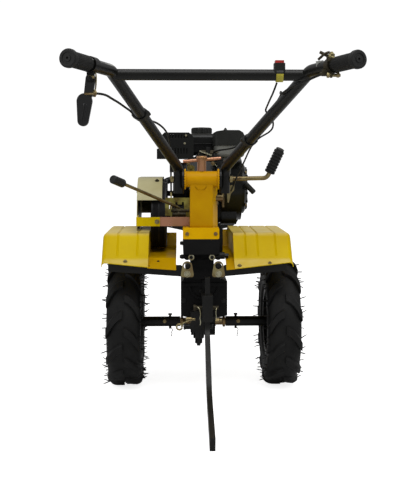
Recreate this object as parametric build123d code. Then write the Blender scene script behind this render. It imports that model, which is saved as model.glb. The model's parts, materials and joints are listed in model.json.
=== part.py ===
"""Two-wheel hand tractor: gearbox, slanted engine, belt drive, fenders and a handlebar.

Millimetres. +Y is the way it drives, +X its right side, +Z up. Every shape below is
drawn with its origin under the axle and at the height of the axle's datum, and is
shifted as it is written out, so that the origin of the finished part is the middle of
its footprint on the floor. Other wheels lift the machine and leave its own heights.
"""
import os
from math import atan2, cos, degrees, hypot, pi, radians, sin, sqrt, tan

from build123d import *

# ---------------------------------------------------------------- driving sizes
WHEEL_RADIUS = 207.5        # over the lugs of a 4.00-8 tractor tyre
TYRE_WIDTH = 112
RIM_RADIUS = 101.5          # bead seat of an 8 inch rim
TRACK = 512                 # between the middles of the tyres

REAR_REACH = 970            # axle to the ends of the grips
FRONT_REACH = 610           # axle to the front of the bumper
GRIP_HEIGHT = 979           # the middle of a grip's end
GRIP_SPREAD = 666           # between the middles of the grips' ends

COLUMN_X = -10              # the column stands a little left of the wheels' middle
HINGE_Y, HINGE_Z = -235, 689    # the toothed joint that sets the handlebar's height

ENGINE_BED = 520            # top of the engine's rails
CRANK_Y = 300
CRANK_HEIGHT = 106          # crankshaft above the bed
GEARBOX_SHAFT_Y, GEARBOX_SHAFT_Z = 60, 562

RUN = 0.1                   # radial clearance of a turning fit
SEAT = 0.3                  # gap of two faces that only rest on each other
SHEET = 2                   # pressed steel

AXLE_Z = 207.5              # the axle's height in the drawing
FLOOR_Z = AXLE_Z - WHEEL_RADIUS
CRANK_Z = ENGINE_BED + CRANK_HEIGHT
MIDDLE_Y = (FRONT_REACH - REAR_REACH) / 2


# ---------------------------------------------------------------- drawing helpers
def side_plate(sketch, x_low, x_high):
    """A sketch in the side view (Y across, Z up), made solid from x_low to x_high."""
    return extrude(Plane.YZ.offset(x_low) * sketch, amount=x_high - x_low, dir=(1, 0, 0))


def rear_plate(sketch, y_low, y_high):
    """A sketch in the rear view (X across, Z up), made solid from y_low to y_high."""
    plane = Plane(origin=(0, y_high, 0), x_dir=(1, 0, 0), z_dir=(0, -1, 0))
    return extrude(plane * sketch, amount=y_high - y_low, dir=(0, -1, 0))


def block(x_low, x_high, y_low, y_high, z_low, z_high):
    """A box between two corners."""
    size = (x_high - x_low, y_high - y_low, z_high - z_low)
    centre = ((x_low + x_high) / 2, (y_low + y_high) / 2, (z_low + z_high) / 2)
    return Pos(*centre) * Box(*size)


def rod(start, end, radius):
    """A round bar between two points."""
    start, end = Vector(*start), Vector(*end)
    plane = Plane(origin=start, z_dir=end - start)
    return extrude(plane * Circle(radius), amount=(end - start).length)


def across(x_low, x_high, y, z, radius):
    """A round bar that lies across the machine."""
    return rod((x_low, y, z), (x_high, y, z), radius)


def bent_bar(points, radii, section):
    """A section swept along straight runs with round bends."""
    path = FilletPolyline(*points, radius=radii)
    return sweep(Plane(origin=path @ 0, z_dir=path % 0) * section, path=path)


def turned(profile, x_centre, y, z):
    """A profile (X along the axle, Y the radius), turned about a line across the machine."""
    body = revolve(Plane.XY * make_face(Polyline(*profile, close=True)), Axis.X)
    return Pos(x_centre, y, z) * body


def round_hull(*discs):
    """The outline round several discs, each (across, up, radius)."""
    edges = []
    for across_at, up_at, radius in discs:
        edges += (Pos(across_at, up_at) * Circle(radius)).edges()
    return make_hull(edges)


# ---------------------------------------------------------------- wheels and axle
HEX_FLATS = 23
JOURNAL_RADIUS = 17
HUB_RADIUS = 16.5
HUB_INNER_X = 76            # inner end of the tube that slides on the hexagon
RIM_HALF_WIDTH = 40
RIM_SHEET = 4
PIN_X = 110


def tyre(side):
    """A tyre with a rounded crown; its open inside faces the rim."""
    half = TYRE_WIDTH / 2
    bead = RIM_RADIUS + SEAT
    toe = RIM_HALF_WIDTH - SEAT
    bulge, shoulder = WHEEL_RADIUS - 52, WHEEL_RADIUS - 14
    outside = [(toe, bead), (toe, bead + 15), (half, bulge), (half - 2, shoulder), (half - 18, WHEEL_RADIUS)]
    inside = [(half - 20, shoulder - 8), (half - 16, bulge), (toe - 9, bead + 14), (toe - 9, bead)]
    profile = [(-x, r) for x, r in outside] + outside[::-1] + inside[::-1] + [(-x, r) for x, r in inside]
    return turned(profile, side * TRACK / 2, 0, AXLE_Z)


def rim(side):
    """A pressed rim, its dished disc and the long hub tube welded through it."""
    w, r, t = RIM_HALF_WIDTH, RIM_RADIUS, RIM_SHEET
    lip = r + 14
    barrel = [(-w, r), (-w, lip), (-w - t, lip), (-w - t, r - t), (-22, r - t), (-18, r - 18),
              (18, r - 18), (22, r - t), (w + t, r - t), (w + t, lip), (w, lip), (w, r),
              (20, r), (16, r - 18 + t), (-16, r - 18 + t), (-20, r)]
    disc_in, disc_out = HUB_RADIUS - 1, r - 18 + 1
    disc = [(6, disc_in), (6, 52), (-8, 66), (-8, disc_out), (-3, disc_out), (-3, 68),
            (11, 54), (11, disc_in)]
    centre_x = side * TRACK / 2
    body = turned(barrel, centre_x, 0, AXLE_Z) + turned(disc, centre_x, 0, AXLE_Z)
    holes = [across(centre_x - 20, centre_x + 20, 36 * cos(k * pi / 2), AXLE_Z + 36 * sin(k * pi / 2), 6)
             for k in range(4)]
    body -= holes
    inner, outer = side * HUB_INNER_X, side * (TRACK / 2 + 34)
    low, high = min(inner, outer), max(inner, outer)
    tube = across(low, high, 0, AXLE_Z, HUB_RADIUS)
    hexagon = RegularPolygon(HEX_FLATS / 2 + RUN, 6, major_radius=False)
    hexagon = side_plate(Pos(0, AXLE_Z) * hexagon, low, high)
    pin_hole = Pos(side * PIN_X, 0, AXLE_Z) * Cylinder(4.2, 60)
    return body + tube - hexagon - pin_hole


def hex_axle():
    """The output shaft: round where the gearbox carries it, hexagonal outside."""
    journal = across(-LEG_HALF - 3, LEG_HALF + 3, 0, AXLE_Z, JOURNAL_RADIUS)
    reach = TRACK / 2 + 20
    bar = side_plate(Pos(0, AXLE_Z) * RegularPolygon(HEX_FLATS / 2, 6, major_radius=False), -reach, reach)
    pin_holes = [Pos(side * PIN_X, 0, AXLE_Z) * Cylinder(4.2, 60) for side in (-1, 1)]
    return journal + bar - pin_holes


def hub_pins():
    """The two pins that lock the hub tubes to the hexagon."""
    pins = []
    for side in (-1, 1):
        shank = Pos(side * PIN_X, 0, AXLE_Z) * Cylinder(4, 48)
        head = Pos(side * PIN_X, 0, AXLE_Z + 24) * Cylinder(6.5, 5)
        pins.append(shank + head)
    return Compound(pins)


# ---------------------------------------------------------------- gearbox
LEG_HALF = 40
BLOCK_HALF = 74
BLOCK_LOW, BLOCK_HIGH = 248, 366
NECK_LEFT, NECK_RIGHT = -42, 30
TOP_HALF = 57
CASE_WALL = 10
GEARBOX_TOP = 500
GEARBOX_REAR = -205         # rear edge of the top flange
BLOCK_REAR = -150
GEARBOX_FRONT = 100
BOSS_RADIUS = 30
SHAFT_BOSS_X = -112         # outer end of the input shaft's boss
LUG_Y = -220                # where the fenders' bars and lugs are bolted on
LUG_XS = (-54.5, 42.5)
LUG_Z = 395                 # their bolts
TOP_BOLT_Z = 444            # the two bolts above them


def gearbox():
    """The cast case: its side outline and its rear outline, cut from one another."""
    left, right = COLUMN_X - TOP_HALF, COLUMN_X + TOP_HALF
    rear_view = Polygon(
        (-LEG_HALF, AXLE_Z - 50), (LEG_HALF, AXLE_Z - 50), (LEG_HALF, BLOCK_LOW - 6),
        (BLOCK_HALF, BLOCK_LOW + 4), (BLOCK_HALF, BLOCK_HIGH - 6), (BLOCK_HALF - 8, BLOCK_HIGH),
        (NECK_RIGHT, BLOCK_HIGH + 6), (NECK_RIGHT, 432), (right, 452), (right, GEARBOX_TOP),
        (34, GEARBOX_TOP + 4), (34, GEARBOX_SHAFT_Z + 48), (-46, GEARBOX_SHAFT_Z + 48),
        (-46, GEARBOX_TOP + 4), (left, GEARBOX_TOP), (left, 452), (NECK_LEFT, 432),
        (NECK_LEFT, BLOCK_HIGH + 6), (-BLOCK_HALF + 8, BLOCK_HIGH), (-BLOCK_HALF, BLOCK_HIGH - 6),
        (-BLOCK_HALF, BLOCK_LOW + 4), (-LEG_HALF, BLOCK_LOW - 6), align=None)
    case = rear_plate(rear_view, -260, 160)
    side_view = Polygon(
        (-44, AXLE_Z), (BLOCK_REAR, BLOCK_LOW), (BLOCK_REAR, BLOCK_HIGH), (-180, 432),
        (GEARBOX_REAR, 452), (GEARBOX_REAR, GEARBOX_TOP), (-40, GEARBOX_TOP), (16, GEARBOX_SHAFT_Z),
        (GEARBOX_SHAFT_Y + 40, GEARBOX_SHAFT_Z), (GEARBOX_FRONT, 430), (60, 330), (44, AXLE_Z),
        align=None)
    foot = Pos(0, AXLE_Z) * Circle(46)
    tower = Pos(GEARBOX_SHAFT_Y, GEARBOX_SHAFT_Z) * Circle(46)
    outline = side_view + foot + tower
    case &= side_plate(outline, -200, 200)
    hollow = rear_plate(offset(rear_view, -CASE_WALL, kind=Kind.INTERSECTION), -260, 160)
    hollow &= side_plate(offset(side_view, -CASE_WALL, kind=Kind.INTERSECTION), -200, 200)

    ridge = block(-BLOCK_HALF + 4, BLOCK_HALF - 4, BLOCK_REAR - 7, BLOCK_REAR + 5, 346, 356)
    spine = block(-6, 6, BLOCK_REAR - 9, BLOCK_REAR + 5, BLOCK_LOW + 6, BLOCK_HIGH)
    ring = Pos(0, 352) * (Circle(50) - Circle(44)) & Pos(0, 300) * Rectangle(120, 92)
    arch = rear_plate(ring, BLOCK_REAR - 6, BLOCK_REAR + 5)
    case += [ridge, spine, arch]

    boss = across(SHAFT_BOSS_X, -40, GEARBOX_SHAFT_Y, GEARBOX_SHAFT_Z, BOSS_RADIUS)
    shaft = across(PULLEY_X - 30, SHAFT_BOSS_X + 1, GEARBOX_SHAFT_Y, GEARBOX_SHAFT_Z, 12.5)
    case += [boss, shaft]
    for x in LUG_XS:
        case += rod((x, LUG_Y, LUG_Z), (x, -150, LUG_Z), 9)
        case += rod((x, -198, TOP_BOLT_Z), (x, BLOCK_REAR, TOP_BOLT_Z), 10)
    # the fender brackets' bosses stand off the block's shoulder
    case += block(LUG_XS[0] - 9, LUG_XS[1] + 9, -162, BLOCK_REAR + 10, LUG_Z - 26, LUG_Z + 6)
    case -= hollow
    case -= across(-LEG_HALF - 20, LEG_HALF + 20, 0, AXLE_Z, JOURNAL_RADIUS + RUN)
    return case


# ---------------------------------------------------------------- engine rails and bumper
RAIL_CENTRE = 45
RAIL_WIDTH = 40
RAIL_HEIGHT = 26
RAIL_WALL = 4
RAIL_REAR, RAIL_FRONT = GEARBOX_FRONT + 6.5, 500
BUMPER_RADIUS = 13


def engine_rails():
    """Two channels on a flange that bolts to the gearbox, with a front cross piece."""
    top, low = ENGINE_BED, ENGINE_BED - RAIL_HEIGHT
    frame = block(-58, 58, GEARBOX_FRONT + SEAT, RAIL_REAR, 436, top)
    for side in (-1, 1):
        centre = side * RAIL_CENTRE
        outer = block(centre - RAIL_WIDTH / 2, centre + RAIL_WIDTH / 2, RAIL_REAR - 1, RAIL_FRONT, low, top)
        inside = block(centre - RAIL_WIDTH / 2 + RAIL_WALL, centre + RAIL_WIDTH / 2 - RAIL_WALL,
                       RAIL_REAR, RAIL_FRONT + 1, low - 1, top - RAIL_WALL)
        gusset = side_plate(Polygon((RAIL_REAR - 1, 440), (RAIL_REAR - 1, low + 1), (RAIL_REAR + 70, low + 1),
                                    align=None), centre - 3, centre + 3)
        frame += outer - inside + gusset
        for y in (CRANK_Y - 81, CRANK_Y + 81):
            frame -= Pos(side * 37.75, y, top) * Cylinder(5, 30)
    outside = RAIL_CENTRE + RAIL_WIDTH / 2
    frame += block(-outside, outside, RAIL_FRONT - 6, RAIL_FRONT, low - 24, top)
    for side in (-1, 1):
        frame -= Pos(side * RAIL_CENTRE, RAIL_FRONT, low - 10) * Rot(90, 0, 0) * Cylinder(6.5, 40)
    return frame


def front_bumper():
    """A bent tube ahead of the engine, on two stubs at the ends of the rails."""
    low, high = ENGINE_BED - 42, ENGINE_BED + 150
    nose = FRONT_REACH - BUMPER_RADIUS
    points = [(-45, RAIL_FRONT + SEAT, low), (-45, nose - 30, low), (-150, nose, low + 20),
              (-150, nose, high), (150, nose, high), (150, nose, low + 20), (45, nose - 30, low),
              (45, RAIL_FRONT + SEAT, low)]
    return bent_bar(points, [35, 40, 40, 40, 40, 35], Circle(BUMPER_RADIUS) - Circle(BUMPER_RADIUS - 2.5))


# ---------------------------------------------------------------- engine
CASE_LEFT, CASE_RIGHT = -92, 72
HEAD_Y, HEAD_Z = 118, 696
SHROUD_OUT, SHROUD_FOOT_OUT = 146, 127
RECOIL_OUT = 168
GRIP_X = 160                # the starter rope comes out here
TANK_TOP = 846


def engine_block():
    """Crankcase, the slanted finned cylinder and its head, solid inside."""
    outline = round_hull((CRANK_Y, CRANK_Z + 4, 78), (CRANK_Y - 62, ENGINE_BED + 22, 20),
                         (CRANK_Y + 72, ENGINE_BED + 22, 20), (CRANK_Y - 40, CRANK_Z + 56, 26))
    case = side_plate(outline, CASE_LEFT, CASE_RIGHT)
    hollow = side_plate(offset(outline, -CASE_WALL), CASE_LEFT + CASE_WALL, CASE_RIGHT + 1)
    base = block(-60, 60, CRANK_Y - 95, CRANK_Y + 95, ENGINE_BED + SEAT, ENGINE_BED + 16)
    base -= [Pos(side * 37.75, CRANK_Y + end * 81, ENGINE_BED) * Cylinder(5, 60)
             for side in (-1, 1) for end in (-1, 1)]
    lean = degrees(atan2(HEAD_Z - CRANK_Z, CRANK_Y - HEAD_Y))
    length = hypot(HEAD_Z - CRANK_Z, CRANK_Y - HEAD_Y)
    # the cylinder is drawn standing up, then laid back toward the handlebar
    barrel = Pos(0, 0, length / 2) * Cylinder(36, length)
    barrel += [Pos(0, 0, 92 + k * 11) * Box(104, 96, 4) for k in range(6)]
    head = Pos(0, 0, length + 4) * Box(108, 98, 22)
    head += [Pos(0, 0, length - 20 + k * 9) * Box(112, 102, 4) for k in range(5)]
    port = Pos(-62, 24, length - 2) * Box(30, 36, 30) + Pos(62, 24, length - 2) * Box(30, 36, 30)
    leaned = Pos(-6, CRANK_Y, CRANK_Z) * Rot(90 - lean, 0, 0) * (barrel + head + port)
    shaft = across(PULLEY_X - 28, CASE_LEFT + 1, CRANK_Y, CRANK_Z, 10)
    cover = across(CASE_LEFT - 10, CASE_LEFT + 1, CRANK_Y, CRANK_Z, 62)
    return case + base + leaned + shaft + cover - hollow


def rocker_cover():
    """The pressed cover on the end of the head."""
    lean = degrees(atan2(HEAD_Z - CRANK_Z, CRANK_Y - HEAD_Y))
    length = hypot(HEAD_Z - CRANK_Z, CRANK_Y - HEAD_Y)
    cap = fillet(Box(92, 76, 28).edges().filter_by(Axis.Z), 16)
    cap = fillet(cap.faces().sort_by(Axis.Z)[-1].edges(), 8)
    rim_plate = fillet(Box(100, 84, 3).edges().filter_by(Axis.Z), 18)
    cover = Pos(0, 0, length + 18 + SEAT + 14) * cap + Pos(0, 0, length + 18 + SEAT + 1.5) * rim_plate
    cover -= Pos(0, 0, length + 18 + SEAT + 12) * Box(84, 68, 26)
    return Pos(-6, CRANK_Y, CRANK_Z) * Rot(90 - lean, 0, 0) * cover


def fan_shroud():
    """The fan housing on the right and the duct that leads its air over the cylinder."""
    outline = round_hull((CRANK_Y, 645, 116), (CRANK_Y - 66, 704, 46))
    foot_z = ENGINE_BED + 18
    foot = round_hull((CRANK_Y - 66, foot_z, 22), (CRANK_Y + 66, foot_z, 22), (CRANK_Y, 640, 60))
    skin = side_plate(outline, CASE_RIGHT + SEAT, SHROUD_OUT)
    skin += side_plate(foot, CASE_RIGHT + SEAT, SHROUD_FOOT_OUT)
    hollow = side_plate(offset(outline, -3), CASE_RIGHT, SHROUD_OUT - 3)
    hollow += side_plate(offset(foot, -3), CASE_RIGHT, SHROUD_FOOT_OUT - 3)
    intake = across(SHROUD_OUT - 10, SHROUD_OUT + 10, CRANK_Y, 645, 70)
    return skin - hollow - intake


def recoil_cover():
    """The starter's round cover with a ring of slots and its rope outlet."""
    centre_z = 645
    dome = turned([(SHROUD_OUT + SEAT, 0), (SHROUD_OUT + SEAT, 92), (SHROUD_OUT + 10, 92), (RECOIL_OUT - 6, 82),
                   (RECOIL_OUT, 70), (RECOIL_OUT, 0)], 0, CRANK_Y, centre_z)
    inside = turned([(SHROUD_OUT - 1, 0), (SHROUD_OUT - 1, 84), (RECOIL_OUT - 6, 76), (RECOIL_OUT - 3, 64),
                     (RECOIL_OUT - 3, 0)], 0, CRANK_Y, centre_z)
    cover = dome - inside
    for k in range(12):
        angle = k * 30
        slot = Rot(angle, 0, 0) * Pos(RECOIL_OUT, 0, 52) * Box(20, 10, 26)
        cover -= Pos(0, CRANK_Y, centre_z) * slot
    outlet = rod((GRIP_X, CRANK_Y - 70, 650), (GRIP_X, CRANK_Y - 112, 650), 9)
    return cover + outlet


def starter_grip():
    """The T-shaped pull grip, drawn in against its outlet."""
    y = CRANK_Y - 124
    bar = rod((GRIP_X - 6, y, 667), (GRIP_X + 28, y, 632), 9.5)
    bar = fillet(bar.edges(), 5)
    stem = rod((GRIP_X, y, 650), (GRIP_X, CRANK_Y - 112 - SEAT, 650), 5)
    return bar + stem


def fuel_tank():
    """A pressed tank with a seam, open only at the filler neck."""
    low, seam = 766, 806
    x0, x1, y0, y1 = -104, 118, 252, 448
    shell = block(x0, x1, y0, y1, low, TANK_TOP)
    shell = fillet(shell.edges().filter_by(Axis.Z), 34)
    shell = fillet(shell.faces().sort_by(Axis.Z)[-1].edges(), 18)
    shell = fillet(shell.faces().sort_by(Axis.Z)[0].edges(), 12)
    inside = block(x0 + SHEET, x1 - SHEET, y0 + SHEET, y1 - SHEET, low + SHEET, TANK_TOP - SHEET)
    inside = fillet(inside.edges().filter_by(Axis.Z), 32)
    inside = fillet(inside.faces().sort_by(Axis.Z)[-1].edges(), 16)
    inside = fillet(inside.faces().sort_by(Axis.Z)[0].edges(), 10)
    flange = block(x0 - 8, x1 + 8, y0 - 8, y1 + 8, seam, seam + 3)
    flange = fillet(flange.edges().filter_by(Axis.Z), 40)
    neck = Pos(CAP_X, CAP_Y, TANK_TOP + 3) * Cylinder(24, 12)
    bore = Pos(CAP_X, CAP_Y, TANK_TOP) * Cylinder(20, 30)
    feet = [Pos(x, y, low - 8) * Cylinder(9, 20) for x in (-40, 50) for y in (CRANK_Y - 20, CRANK_Y + 60)]
    strut = block(-60, 66, CRANK_Y - 40, CRANK_Y + 76, low - 20, low - 14)
    legs = [block(x - 4, x + 4, CRANK_Y - 10, CRANK_Y + 50, CRANK_Z + 82 + SEAT, low - 14) for x in (-40, 50)]
    return shell + flange - inside + neck - bore + feet + strut + legs


CAP_X, CAP_Y = 4, 330


def fuel_cap():
    """A ribbed cap over the filler neck."""
    cap = Pos(CAP_X, CAP_Y, TANK_TOP + 13) * Cylinder(38, 22)
    cap = fillet(cap.faces().sort_by(Axis.Z)[-1].edges(), 6)
    hollow = Pos(CAP_X, CAP_Y, TANK_TOP + 5) * Cylinder(25, 16)
    cap -= hollow
    cap -= [Pos(CAP_X, CAP_Y, TANK_TOP + 10) * Rot(0, 0, k * 30) * Pos(39, 0, 0) * Cylinder(3, 30)
            for k in range(12)]
    return cap


def air_cleaner():
    """The black cover with its wing nut, over the filter's pan."""
    cover = block(40, 152, 88, 226, 800, 853)
    cover = fillet(cover.edges().filter_by(Axis.Z), 16)
    crown = Polygon((30, 790), (30, 838), (50, 849), (76, 853), (128, 853), (142, 845), (152, 826), (162, 790),
                    align=None)
    cover &= rear_plate(crown, 80, 230)
    nut = Pos(84, 157, 857) * Cone(9, 2.5, 12)
    return cover + nut


def air_cleaner_base():
    """The pan under the cover and its elbow into the head's right port."""
    pan = block(44, 148, 92, 222, 758, 800 - SEAT)
    pan = fillet(pan.edges().filter_by(Axis.Z), 20)
    pan = fillet(pan.faces().sort_by(Axis.Z)[0].edges(), 14)
    elbow = block(71 + SEAT, 100, 110, 146, 700, 760)
    stop = block(26, 50, 116, 128, 768, 780)
    return pan + elbow + stop


MUFFLER_LEFT, MUFFLER_RIGHT = -140, -36


def muffler():
    """The muffler's rounded box on its pipe from the head's left port."""
    body = block(MUFFLER_LEFT, MUFFLER_RIGHT, 100, 226, 752, 838)
    body = fillet(body.edges().filter_by(Axis.Y), 26)
    chamber = block(MUFFLER_LEFT + SHEET, MUFFLER_RIGHT - SHEET, 102, 224, 754, 836)
    body -= fillet(chamber.edges().filter_by(Axis.Y), 24)
    body -= rod((-95, 220, 795), (-95, 230, 795), 9)
    pipe = rod((-100, 128, 706), (-100, 128, 756), 13)
    flange = block(-92, -83 - SEAT, 110, 146, 702, 738)
    return body + pipe + flange


def muffler_guard():
    """The slotted heat guard round the back, top and sides of the muffler."""
    gap, t = 5, 1.5
    x0, x1, y0, y1, z0, z1 = MUFFLER_LEFT - gap, MUFFLER_RIGHT + gap, 100 - gap, 226, 752, 838 + gap
    outer = block(x0 - t, x1 + t, y0 - t, y1, z0, z1 + t)
    outer = chamfer(outer.edges().filter_by(Axis.Y).sort_by(Axis.Z)[-2:], 16)
    outer += block(x0 - 12, x0, y0 - t, y0 + 50, z0, 788)
    inner = block(x0, x1, y0, y1 + 1, z0 - 1, z1)
    inner = chamfer(inner.edges().filter_by(Axis.Y).sort_by(Axis.Z)[-2:], 15.5)
    inner += block(x0 - 12 + t, x0 + 1, y0, y0 + 51, z0 - 1, 788 - t)
    guard = outer - inner
    for k in range(7):
        x = x0 + 30 + k * 10
        slot = Polygon((x, 824), (x + 4, 824), (x + 7, 838), (x + 3, 838), align=None)
        guard -= rear_plate(slot, y0 - 10, y0 + 10)
        guard -= block(x, x + 4, y0 - 10, y0 + 10, 770, 790)
    standoffs = [rod((x, y0 - 1, 804), (x, 100 - SEAT, 804), 5) for x in (-114, -64)]
    return guard + standoffs


# ---------------------------------------------------------------- belt drive
PULLEY_X = -147             # middle of the two belts
BELT_PITCH = 21
BELT_DEPTH = 11
BELT_SLOPE = 10.4           # how far a belt's sides taper, short of its full depth
GROOVE_DEPTH = 14
GROOVE_TOP, GROOVE_LOW = 8.5, 5     # half widths of a groove at its mouth and its floor
BIG_RADIUS = 111            # over the belts on the gearbox pulley
SMALL_RADIUS = 52           # over the belts on the engine pulley


def pulley(y, z, radius, bore):
    """A two-groove pulley with a thin web and a hub."""
    half = BELT_PITCH + 4
    profile = [(-half, bore), (-half, radius)]
    for centre in (-BELT_PITCH / 2, BELT_PITCH / 2):
        profile += [(centre - GROOVE_TOP, radius), (centre - GROOVE_LOW, radius - GROOVE_DEPTH),
                    (centre + GROOVE_LOW, radius - GROOVE_DEPTH), (centre + GROOVE_TOP, radius)]
    profile += [(half, radius), (half, bore)]
    wheel = turned(profile, PULLEY_X, y, z)
    if radius > 80:
        for face in (-1, 1):
            recess = [(face * 5, bore + 16), (face * 5, radius - 26), (face * (half + 1), radius - 22),
                      (face * (half + 1), bore + 14)]
            wheel -= turned(recess, PULLEY_X, y, z)
    return wheel


def drive_belts():
    """Two V-belts round both pulleys, their sides just off the grooves' walls."""
    over = round_hull((GEARBOX_SHAFT_Y, GEARBOX_SHAFT_Z, BIG_RADIUS), (CRANK_Y, CRANK_Z, SMALL_RADIUS))
    under = round_hull((GEARBOX_SHAFT_Y, GEARBOX_SHAFT_Z, BIG_RADIUS - BELT_DEPTH),
                       (CRANK_Y, CRANK_Z, SMALL_RADIUS - BELT_DEPTH))
    half = GROOVE_TOP - SEAT
    taper = (GROOVE_TOP - GROOVE_LOW) / GROOVE_DEPTH
    belts = []
    for centre in (PULLEY_X - BELT_PITCH / 2, PULLEY_X + BELT_PITCH / 2):
        band = side_plate(over - under, centre - half, centre + half)
        for side in (Axis.X, -Axis.X):
            inner = band.faces().sort_by(side)[-1].inner_wires()[0].edges()
            face = band.faces().sort_by(side)[-1]
            band = chamfer(inner, length=BELT_SLOPE, length2=taper * BELT_SLOPE, reference=face)
        belts += band.solids()
    return Compound(belts)


ROLLER_Y, ROLLER_Z = 267.5, 519     # it hangs just off the belts' lower run
ROLLER_RADIUS = 24
ARM_LEFT, ARM_RIGHT = -109.5, -104.5
HORN_Y, HORN_Z = 52, 636


def belt_tensioner():
    """The clutch's bell crank: it swings on the input shaft's boss and carries the roller."""
    ring = (GEARBOX_SHAFT_Y, GEARBOX_SHAFT_Z, BOSS_RADIUS + 8)
    arm = side_plate(round_hull(ring, (ROLLER_Y, ROLLER_Z, 13)), ARM_LEFT, ARM_RIGHT)
    arm += side_plate(round_hull(ring, (HORN_Y, HORN_Z, 8)), ARM_LEFT, ARM_RIGHT)
    arm -= across(ARM_LEFT - 1, ARM_RIGHT + 1, GEARBOX_SHAFT_Y, GEARBOX_SHAFT_Z, BOSS_RADIUS + SEAT)
    return arm + across(PULLEY_X - BELT_PITCH - 6, ARM_LEFT + 1, ROLLER_Y, ROLLER_Z, 6)


def tension_roller():
    """The flanged roller under the belts' lower run."""
    half, flange = BELT_PITCH + 1, ROLLER_RADIUS
    profile = [(-half, 6 + RUN), (-half, flange), (half, flange), (half, 6 + RUN)]
    return turned(profile, PULLEY_X, ROLLER_Y, ROLLER_Z)


GUARD_OUT = -219
GUARD_IN = -136
GUARD_GAP, NOSE_GAP = 16, 10        # inside the rim, over the big and the small pulley


def belt_guard():
    """A side plate with a rim over the belts, open below and behind."""
    outline = round_hull((GEARBOX_SHAFT_Y, GEARBOX_SHAFT_Z, BIG_RADIUS + GUARD_GAP),
                         (CRANK_Y, CRANK_Z, SMALL_RADIUS + NOSE_GAP))
    shell = side_plate(outline, GUARD_OUT, GUARD_IN)
    shell -= side_plate(offset(outline, -SHEET), GUARD_OUT + SHEET, GUARD_IN + 1)
    # the rim stops at the bracket's height behind, and the lower run is open
    shell -= block(GUARD_OUT + SHEET, GUARD_IN + 1, -200, 140, 380, 616)
    shell -= block(GUARD_OUT + SHEET, GUARD_IN + 1, 139, 300, 380, 560)
    shell -= block(GUARD_OUT - 1, GUARD_IN + 1, -200, 500, 380, FENDER_TOP + SEAT)
    return shell


STRAP_LOW, STRAP_HIGH = 537, 566
STRAP_Y = -144              # where the guard's foot lies on the strap
STRAP_SHEET = 4


def guard_foot():
    """The angle on the guard's side plate, bolted to the end of the strap."""
    left, right = GUARD_OUT + SHEET + SEAT, -141
    foot = block(left, right, STRAP_Y - STRAP_SHEET, STRAP_Y, STRAP_LOW, STRAP_HIGH)
    return foot + block(left, left + STRAP_SHEET, STRAP_Y - STRAP_SHEET, -40, STRAP_LOW, STRAP_HIGH)


def guard_strap():
    """The flat strap that carries the guard from the column, behind the belts."""
    left, right = -158, COLUMN_X - 36 - SEAT
    strap = block(left, right, STRAP_Y, STRAP_Y + STRAP_SHEET, STRAP_LOW, STRAP_HIGH)
    return strap + block(right - STRAP_SHEET, right, -176, STRAP_Y + STRAP_SHEET, STRAP_LOW, STRAP_HIGH)


# ---------------------------------------------------------------- fenders
# outer edge, step, inner edge, top of the pocket's front wall, grooves from the step
FENDER_LEFT = (-322, -176, -90, 495, (35, 97))
FENDER_RIGHT = (277, 92, 67, 508, (38, 76, 133))
FENDER_TOP = 515
FENDER_PAN = 440                    # floor of the pocket beside the gearbox
FENDER_FRONT, FENDER_BEND = 190, -145
FENDER_NOSE = (FENDER_FRONT + 60, 452)
FENDER_CREASE = (-214, 438)         # where the slope meets the rear lip
FENDER_LIP = (-262, 412)
POCKET_BEND = -180
EDGE_RADIUS = 14
GROOVE_HALF, GROOVE_SINK = 4, 2.5


def fender_section(width, grooves):
    """Across the sheet, outward from the step: pressed grooves and a rounded outer edge."""
    top = [(0, 0)]
    for groove in grooves:
        top += [(groove - GROOVE_HALF, 0), (groove, -GROOVE_SINK), (groove + GROOVE_HALF, 0)]
    top.append((width - EDGE_RADIUS, 0))
    low = [(x, z - SHEET) for x, z in reversed(top)]
    turn = sqrt(0.5)
    outer = ThreePointArc(top[-1], (width - EDGE_RADIUS * (1 - turn), -EDGE_RADIUS * (1 - turn)),
                          (width, -EDGE_RADIUS))
    inner_radius = EDGE_RADIUS - SHEET
    inner = ThreePointArc((width - SHEET, -EDGE_RADIUS),
                          (width - EDGE_RADIUS + inner_radius * turn, inner_radius * turn - EDGE_RADIUS), low[0])
    edge = outer + Line(outer @ 1, inner @ 0) + inner
    return make_face(Polyline(*top) + edge + Polyline(*low) + Line(low[-1], top[0]))


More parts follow.
